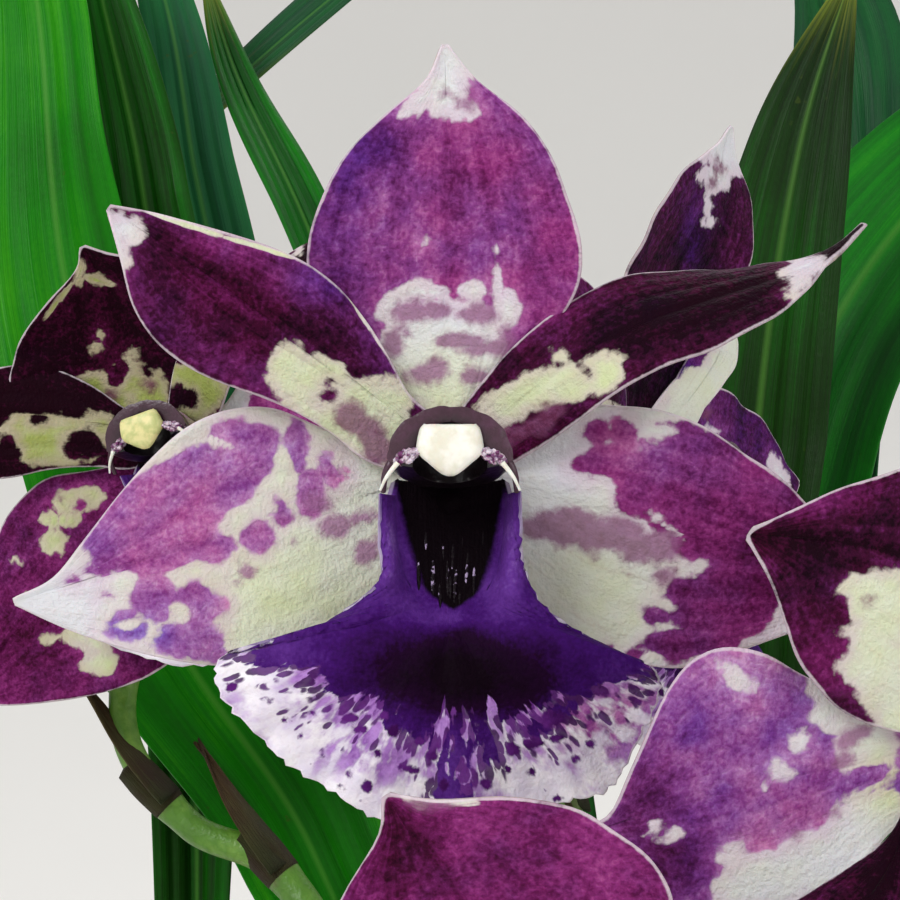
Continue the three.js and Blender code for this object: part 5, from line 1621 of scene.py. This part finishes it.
def makeBulb(order, node):
    bulb = bulbs[node]
    rings, sides = bulbSize["rings"], bulbSize["sides"]
    s = np.linspace(0, 1, rings + 1)[:, None]
    turn = roundAngles(sides)
    wander = 0.35 * np.sin(3.1 * s * 2 + order) + 0.2 * np.sin(9 * s + 2 * order)
    wrinkle = np.abs(np.sin((bulbSize["wrinkles"] * turn + 4 * wander) / 2)) ** 0.6 - 0.6
    fade = np.sin(np.pi * np.clip(s * 1.05, 0, 1)) ** 0.6
    share = along(bulbSize["outline"], s[:, 0])[:, None] * (1 + bulbSize["wrinkleDepth"] * wrinkle * fade)
    (footX, footY), (leanX, leanY), (radiusX, radiusY) = bulb["foot"], bulb["lean"], bulb["radii"]
    centre = lambda level: np.stack([footX + leanX * level, footY + leanY * level,
                                     bulbSize["foot"] + bulb["height"] * level], -1)
    ring = np.stack([radiusX * share * np.cos(turn), radiusY * share * np.sin(turn), 0 * share * turn], -1)
    points = (centre(s) + ring).reshape(-1, 3)
    grid, _, faces = ringFaces(rings + 1, sides)
    faces += [tuple(grid[0, ::-1].tolist()), tuple(grid[-1].tolist())]
    shape = makeShape(points, faces, deep=np.repeat(bulb["deep"] + 0.25 * s[:, 0] - 0.1, sides))
    title = "bulb" + "".join(word.title() for word in node.split("_")[1:])
    addPiece(title, shape, "bulb", "bulb_green", node)
    sheaths = []
    for k, (start, reach, tall) in enumerate(bulbSize["sheaths"]):
        def point(s, t):
            level = 0.1 + (tall - 0.1) * s + 0.02 * np.sin(11 * t + k) * s
            around = start + order + reach / 2 * t * (1 - 0.75 * s ** 2.2)
            out = along(bulbSize["outline"], level) * 1.03
            flare = 0.7 + 0.25 * k + 1.6 * s ** 3 * (0.6 + 0.4 * np.sin(6 * t + k)) + 0.25 * np.sin(21 * t + 3 * s)
            x = (radiusX * out + flare) * np.cos(around)
            y = (radiusY * out + flare) * np.sin(around)
            return centre(level) + np.stack([x, y, 0 * x], -1)
        sheaths.append(bladeShape(point, 30, 30, 0.35, 0.05, piece=5.0 * k + order))
    addPiece(title + "Sheaths", joinShapes(sheaths), "paper", "bulb_green")


for order, node in enumerate(bulbs):
    makeBulb(order, node)
print("pseudobulbs made")


# Clay pot: its wall turned from one profile by Geometry Nodes, with the drain holes cut from its floor
pot = {
    "height": 118, "footRadius": 44, "topRadius": 61, "wall": 5, "floor": 7, "rimHeight": 22, "rimProud": 4,
    "sides": 160, "rings": 190, "drainHoles": 4, "drainRadius": 4.5, "drainRing": 24, "turningMarks": 0.12,
    "creaseAngle": 40,
}


# The wall's outer radius at a height
def potRadius(z):
    return pot["footRadius"] + (pot["topRadius"] - pot["footRadius"]) * z / pot["height"]


def potProfile():
    height, collar = pot["height"], pot["height"] - pot["rimHeight"]
    proud, top, wall, floor = pot["rimProud"], pot["topRadius"], pot["wall"], pot["floor"]
    return [
        [0.05, 0], [pot["footRadius"] - 2.2, 0], [pot["footRadius"] - 0.7, 0.4], [pot["footRadius"], 1.7],
        [potRadius(collar - 2), collar - 2], [potRadius(collar) + 0.4, collar - 0.3],
        [potRadius(collar) + proud - 1.2, collar + 0.5], [potRadius(collar) + proud, collar + 2],
        [top + proud - 0.1, height - 3], [top + proud - 0.8, height - 0.9],
        [top + proud - 2.4, height], [top - wall + 2.4, height], [top - wall + 0.7, height - 0.8],
        [top - wall, height - 2.6], [potRadius(floor + 3) - wall, floor + 3],
        [potRadius(floor) - wall - 3, floor], [0.05, floor],
    ]


def potGrowth():
    g = Growth("turnedWall", {"Geometry": "Geometry", "Sides": "Int", "Rings": "Int", "Turning Marks": "Float",
                              "Hole Count": "Int", "Hole Radius": "Float", "Hole Ring": "Float",
                              "Material": "Material"})
    profile = g.add("GeometryNodeMeshToCurve", {"Mesh": g.given["Geometry"]}).outputs["Curve"]
    sheet = g.add("GeometryNodeMeshGrid", {"Size X": 1.0, "Size Y": 1.0, "Vertices X": g.given["Sides"],
                                           "Vertices Y": g.given["Rings"]}).outputs["Mesh"]
    spot = g.add("ShaderNodeSeparateXYZ", {0: g.add("GeometryNodeInputPosition").outputs[0]})
    reach = g.math("ADD", spot.outputs["Y"], 0.5)
    angle = g.times(g.math("ADD", spot.outputs["X"], 0.5), 2 * math.pi)
    sample = g.add("GeometryNodeSampleCurve", {"Curves": profile, "Factor": reach}, mode="FACTOR",
                   use_all_curves=True)
    place = g.add("ShaderNodeSeparateXYZ", {0: sample.outputs["Position"]})
    level = place.outputs["Z"]
    marks = g.times(g.math("SINE", g.times(level, 1900.0)), g.given["Turning Marks"])
    outer = g.math("GREATER_THAN", place.outputs["X"], 0.03)
    radius = g.math("ADD", place.outputs["X"], g.times(marks, outer))
    x = g.times(radius, g.math("COSINE", angle))
    y = g.times(radius, g.math("SINE", angle))
    spun = g.add("GeometryNodeSetPosition", {
        "Geometry": sheet, "Position": g.add("ShaderNodeCombineXYZ", {"X": x, "Y": y, "Z": level}).outputs[0]})
    closed = g.add("GeometryNodeMergeByDistance", {"Geometry": spun.outputs["Geometry"], "Distance": 2e-5})
    drill = g.add("GeometryNodeMeshCylinder", {"Vertices": 40, "Radius": g.given["Hole Radius"], "Depth": 0.03})
    circle = g.add("GeometryNodeCurvePrimitiveCircle", {"Resolution": g.given["Hole Count"],
                                                        "Radius": g.given["Hole Ring"]})
    turned = g.add("GeometryNodeTransform", {"Geometry": circle.outputs["Curve"],
                                             "Rotation": (0.0, 0.0, math.pi / 4)}).outputs["Geometry"]
    holes = g.add("GeometryNodeInstanceOnPoints", {
        "Points": g.add("GeometryNodeCurveToPoints", {"Curve": turned}, mode="EVALUATED").outputs["Points"],
        "Instance": drill.outputs["Mesh"]}).outputs["Instances"]
    holes = g.add("GeometryNodeRealizeInstances", {"Geometry": holes}).outputs["Geometry"]
    cut = g.add("GeometryNodeMeshBoolean", {0: closed.outputs["Geometry"], 1: holes}, operation="DIFFERENCE")
    g.finish(cut.outputs["Mesh"])
    return g


def makePot():
    profile = np.array(potProfile()) * mm
    mesh = bpy.data.meshes.new("potProfile")
    points = [(x, 0, z) for x, z in profile]
    mesh.from_pydata(points, [(k, k + 1) for k in range(len(points) - 1)], [])
    piece = potGrowth().grow(placeObject("potProfile", mesh), "clayPot", **{
        "Sides": pot["sides"] + 1, "Rings": pot["rings"], "Turning Marks": pot["turningMarks"] * mm,
        "Hole Count": pot["drainHoles"], "Hole Radius": pot["drainRadius"] * mm, "Hole Ring": pot["drainRing"] * mm,
        "Material": finishes["clay"]})
    piece.data.shade_smooth()
    piece.data.set_sharp_from_angle(angle=math.radians(pot["creaseAngle"]))
    finishPiece(piece, "fired_clay", "clay_pot")


makePot()
print("pot made")


# Bark mix: a fill that carries a few hundred chips, scattered by Geometry Nodes, each turned and shaded by chance
bark = {
    "level": 103, "chips": 420, "length": 15, "width": 9, "height": 4.5, "least": (0.45, 0.5, 0.55),
    "most": (1.15, 1.25, 1.3), "tilt": (0.55, 0.45), "seed": 11, "spread": 51, "fillSides": 96, "creaseAngle": 35,
}
goldenAngle = 2.39996


def barkGrowth():
    g = Growth("scatteredChips", {"Geometry": "Geometry", "Spread": "Float", "Level": "Float", "Chips": "Int",
                                  "Chip Size": "Vector", "Seed": "Int", "Material": "Material"})
    points = g.add("GeometryNodePoints", {"Count": g.given["Chips"]}).outputs["Points"]
    order = g.add("GeometryNodeInputIndex").outputs[0]

    def random(low, high, number, kind="FLOAT"):
        node = g.add("FunctionNodeRandomValue", data_type=kind)
        slots = {"FLOAT": (2, 3), "FLOAT_VECTOR": (0, 1)}[kind]
        node.inputs[slots[0]].default_value = low
        node.inputs[slots[1]].default_value = high
        g.tree.links.new(g.math("ADD", g.given["Seed"], number), node.inputs["Seed"])
        g.tree.links.new(order, node.inputs["ID"])
        return node.outputs["Value" if kind == "FLOAT_VECTOR" else 1]

    radius = g.times(g.math("SQRT", random(0.0, 1.0, 1)), g.given["Spread"])
    angle = g.times(order, goldenAngle)
    lift = g.math("ADD", g.given["Level"], random(-0.002, 0.0045, 2))
    place = g.add("ShaderNodeCombineXYZ", {"X": g.times(radius, g.math("COSINE", angle)),
                                           "Y": g.times(radius, g.math("SINE", angle)), "Z": lift})
    placed = g.add("GeometryNodeSetPosition", {"Geometry": points, "Position": place.outputs[0]})
    roll, pitch = bark["tilt"]
    turned = random((-roll, -pitch, 0.0), (roll, pitch, 6.28), 3, "FLOAT_VECTOR")
    sized = g.add("ShaderNodeVectorMath", {0: g.given["Chip Size"],
                                           1: random(bark["least"], bark["most"], 4, "FLOAT_VECTOR")},
                  operation="MULTIPLY").outputs[0]
    chips = g.add("GeometryNodeInstanceOnPoints", {"Points": placed.outputs["Geometry"],
                                                   "Instance": g.given["Geometry"],
                                                   "Rotation": turned, "Scale": sized}).outputs["Instances"]
    shaded = g.add("GeometryNodeStoreNamedAttribute", {"Geometry": chips, "Name": "shade",
                                                       "Value": random(0.05, 0.95, 5)},
                   data_type="FLOAT", domain="INSTANCE").outputs["Geometry"]
    g.finish(shaded)
    return g


# One chip, a metre long: a split slab with rounded, splintered ends
def chipMesh():
    def point(s, t):
        half = 0.5 * (1 - 0.35 * np.abs(2 * s - 1) ** 3) + 0.04 * np.sin(9 * s + 2 * np.sign(t))
        z = 0.12 * np.sin(5 * s + 2 * t) + 0.25 * (1 - t * t)
        return np.stack([s - 0.5 + 0.05 * np.sin(7 * t), t * half, z], -1)

    shape = bladeShape(point, 9, 6, lambda s, t: 0.75 * (1 - 0.35 * t ** 4) + 0.1 * np.sin(17 * s + 5 * t), 0.06)
    mesh = bpy.data.meshes.new("chip")
    mesh.from_pydata(shape["points"].tolist(), [], shape["faces"])
    return mesh


def makeBark():
    piece = barkGrowth().grow(placeObject("chip", chipMesh()), "barkChips", **{
        "Spread": bark["spread"] * mm, "Level": bark["level"] * mm, "Chips": bark["chips"],
        "Chip Size": [bark[key] * mm for key in ("length", "width", "height")], "Seed": bark["seed"],
        "Material": finishes["bark"]})
    piece.data.shade_smooth()
    piece.data.set_sharp_from_angle(angle=math.radians(bark["creaseAngle"]))
    finishPiece(piece, "bark", "bark_mix")
    sides = bark["fillSides"]
    turn = roundAngles(sides)
    inner = lambda z: potRadius(z) - pot["wall"] - 0.7
    low = pot["floor"] + 0.4
    profile = [[0.01, low], [inner(low) - 4, low], [inner(low), low + 4], [inner(bark["level"]), bark["level"] - 1],
               [40, bark["level"] + 0.5], [20, bark["level"] + 1], [0.01, bark["level"] + 1]]
    rings = np.array([[[r * math.cos(a), r * math.sin(a), z + 0.8 * math.sin(5 * a) * (z > 90)] for a in turn]
                      for r, z in profile])
    grid, _, faces = ringFaces(len(profile), sides)
    faces += [tuple(grid[0, ::-1].tolist()), tuple(grid[-1].tolist())]
    fill = makeShape(rings.reshape(-1, 3), faces, shade=0.2)
    addPiece("barkFill", fill, "bark", "bark", "bark_mix")


makeBark()
print("bark made")


# Pale floor that curves up into a backdrop, far enough off to be plain from every side
stage = {"flat": 1.2, "edge": 3.0, "rise": 1.3, "sides": 96, "colour": "#e9e7e3", "cloud": "#d9d7d3", "glow": 0.16}
air = {"colour": "#f2f3f5", "strength": 0.5}


def makeStage():
    radii = np.concatenate([[0.02], np.linspace(0.1, stage["flat"], 8),
                            np.linspace(stage["flat"], stage["edge"], 24)[1:]])
    climb = np.clip((radii - stage["flat"]) / (stage["edge"] - stage["flat"]), 0, 1)
    heights = stage["rise"] * climb ** 2.4
    sides = stage["sides"]
    turn = roundAngles(sides)
    rings = np.stack(np.broadcast_arrays(radii[:, None] * np.cos(turn), radii[:, None] * np.sin(turn),
                                         heights[:, None]), -1)
    grid, _, faces = ringFaces(len(radii), sides, flipped=True)
    faces.append(tuple(grid[0].tolist()))
    shape = makeShape(rings.reshape(-1, 3) / mm, faces)
    f = Finish("stagePaper", Roughness=0.9, Specular_IOR_Level=0.1, Emission_Color=tint(stage["colour"]),
               Emission_Strength=stage["glow"])
    f.colour(f.mix(f.remap(f.noise(3, 2), -1, 1, 0.0, 0.12), tint(stage["colour"]), tint(stage["cloud"])))
    meshObject("stageFloor", shape, f.material)


lamps = {
    "keyLamp": {"place": (-0.9, -1.1, 1.3), "size": 0.9, "power": 18},
    "fillLamp": {"place": (1.0, -0.9, 0.6), "size": 1.2, "power": 6},
    "backLamp": {"place": (0.3, 1.0, 1.5), "size": 1.2, "power": 10},
}
lampAim = Vector((0.0, 0.0, 0.24))


def makeLamps():
    for name, lamp in lamps.items():
        light = bpy.data.lights.new(name, "AREA")
        light.shape = "DISK"
        light.size = lamp["size"]
        light.energy = lamp["power"]
        holder = placeObject(name, light)
        holder.location = lamp["place"]
        holder.rotation_euler = (lampAim - holder.location).to_track_quat("-Z", "Y").to_euler()
    world = bpy.data.worlds.new("studioAir")
    world.use_nodes = True
    world.node_tree.nodes["Background"].inputs["Color"].default_value = tint(air["colour"])
    world.node_tree.nodes["Background"].inputs["Strength"].default_value = air["strength"]
    bpy.context.scene.world = world


def makeCamera():
    camera = bpy.data.cameras.new("photoCamera")
    camera.lens = photoView["lens"]
    camera.sensor_width = photoView["sensor"]
    camera.clip_start = 0.01
    holder = placeObject("photoCamera", camera)
    holder.location = photoView["eye"]
    holder.rotation_euler = (math.radians(90), 0, 0)
    bpy.context.scene.camera = holder


makeStage()
makeLamps()
makeCamera()
bpy.context.scene.view_settings.view_transform = "Standard"
print("stage, lamps and camera set")
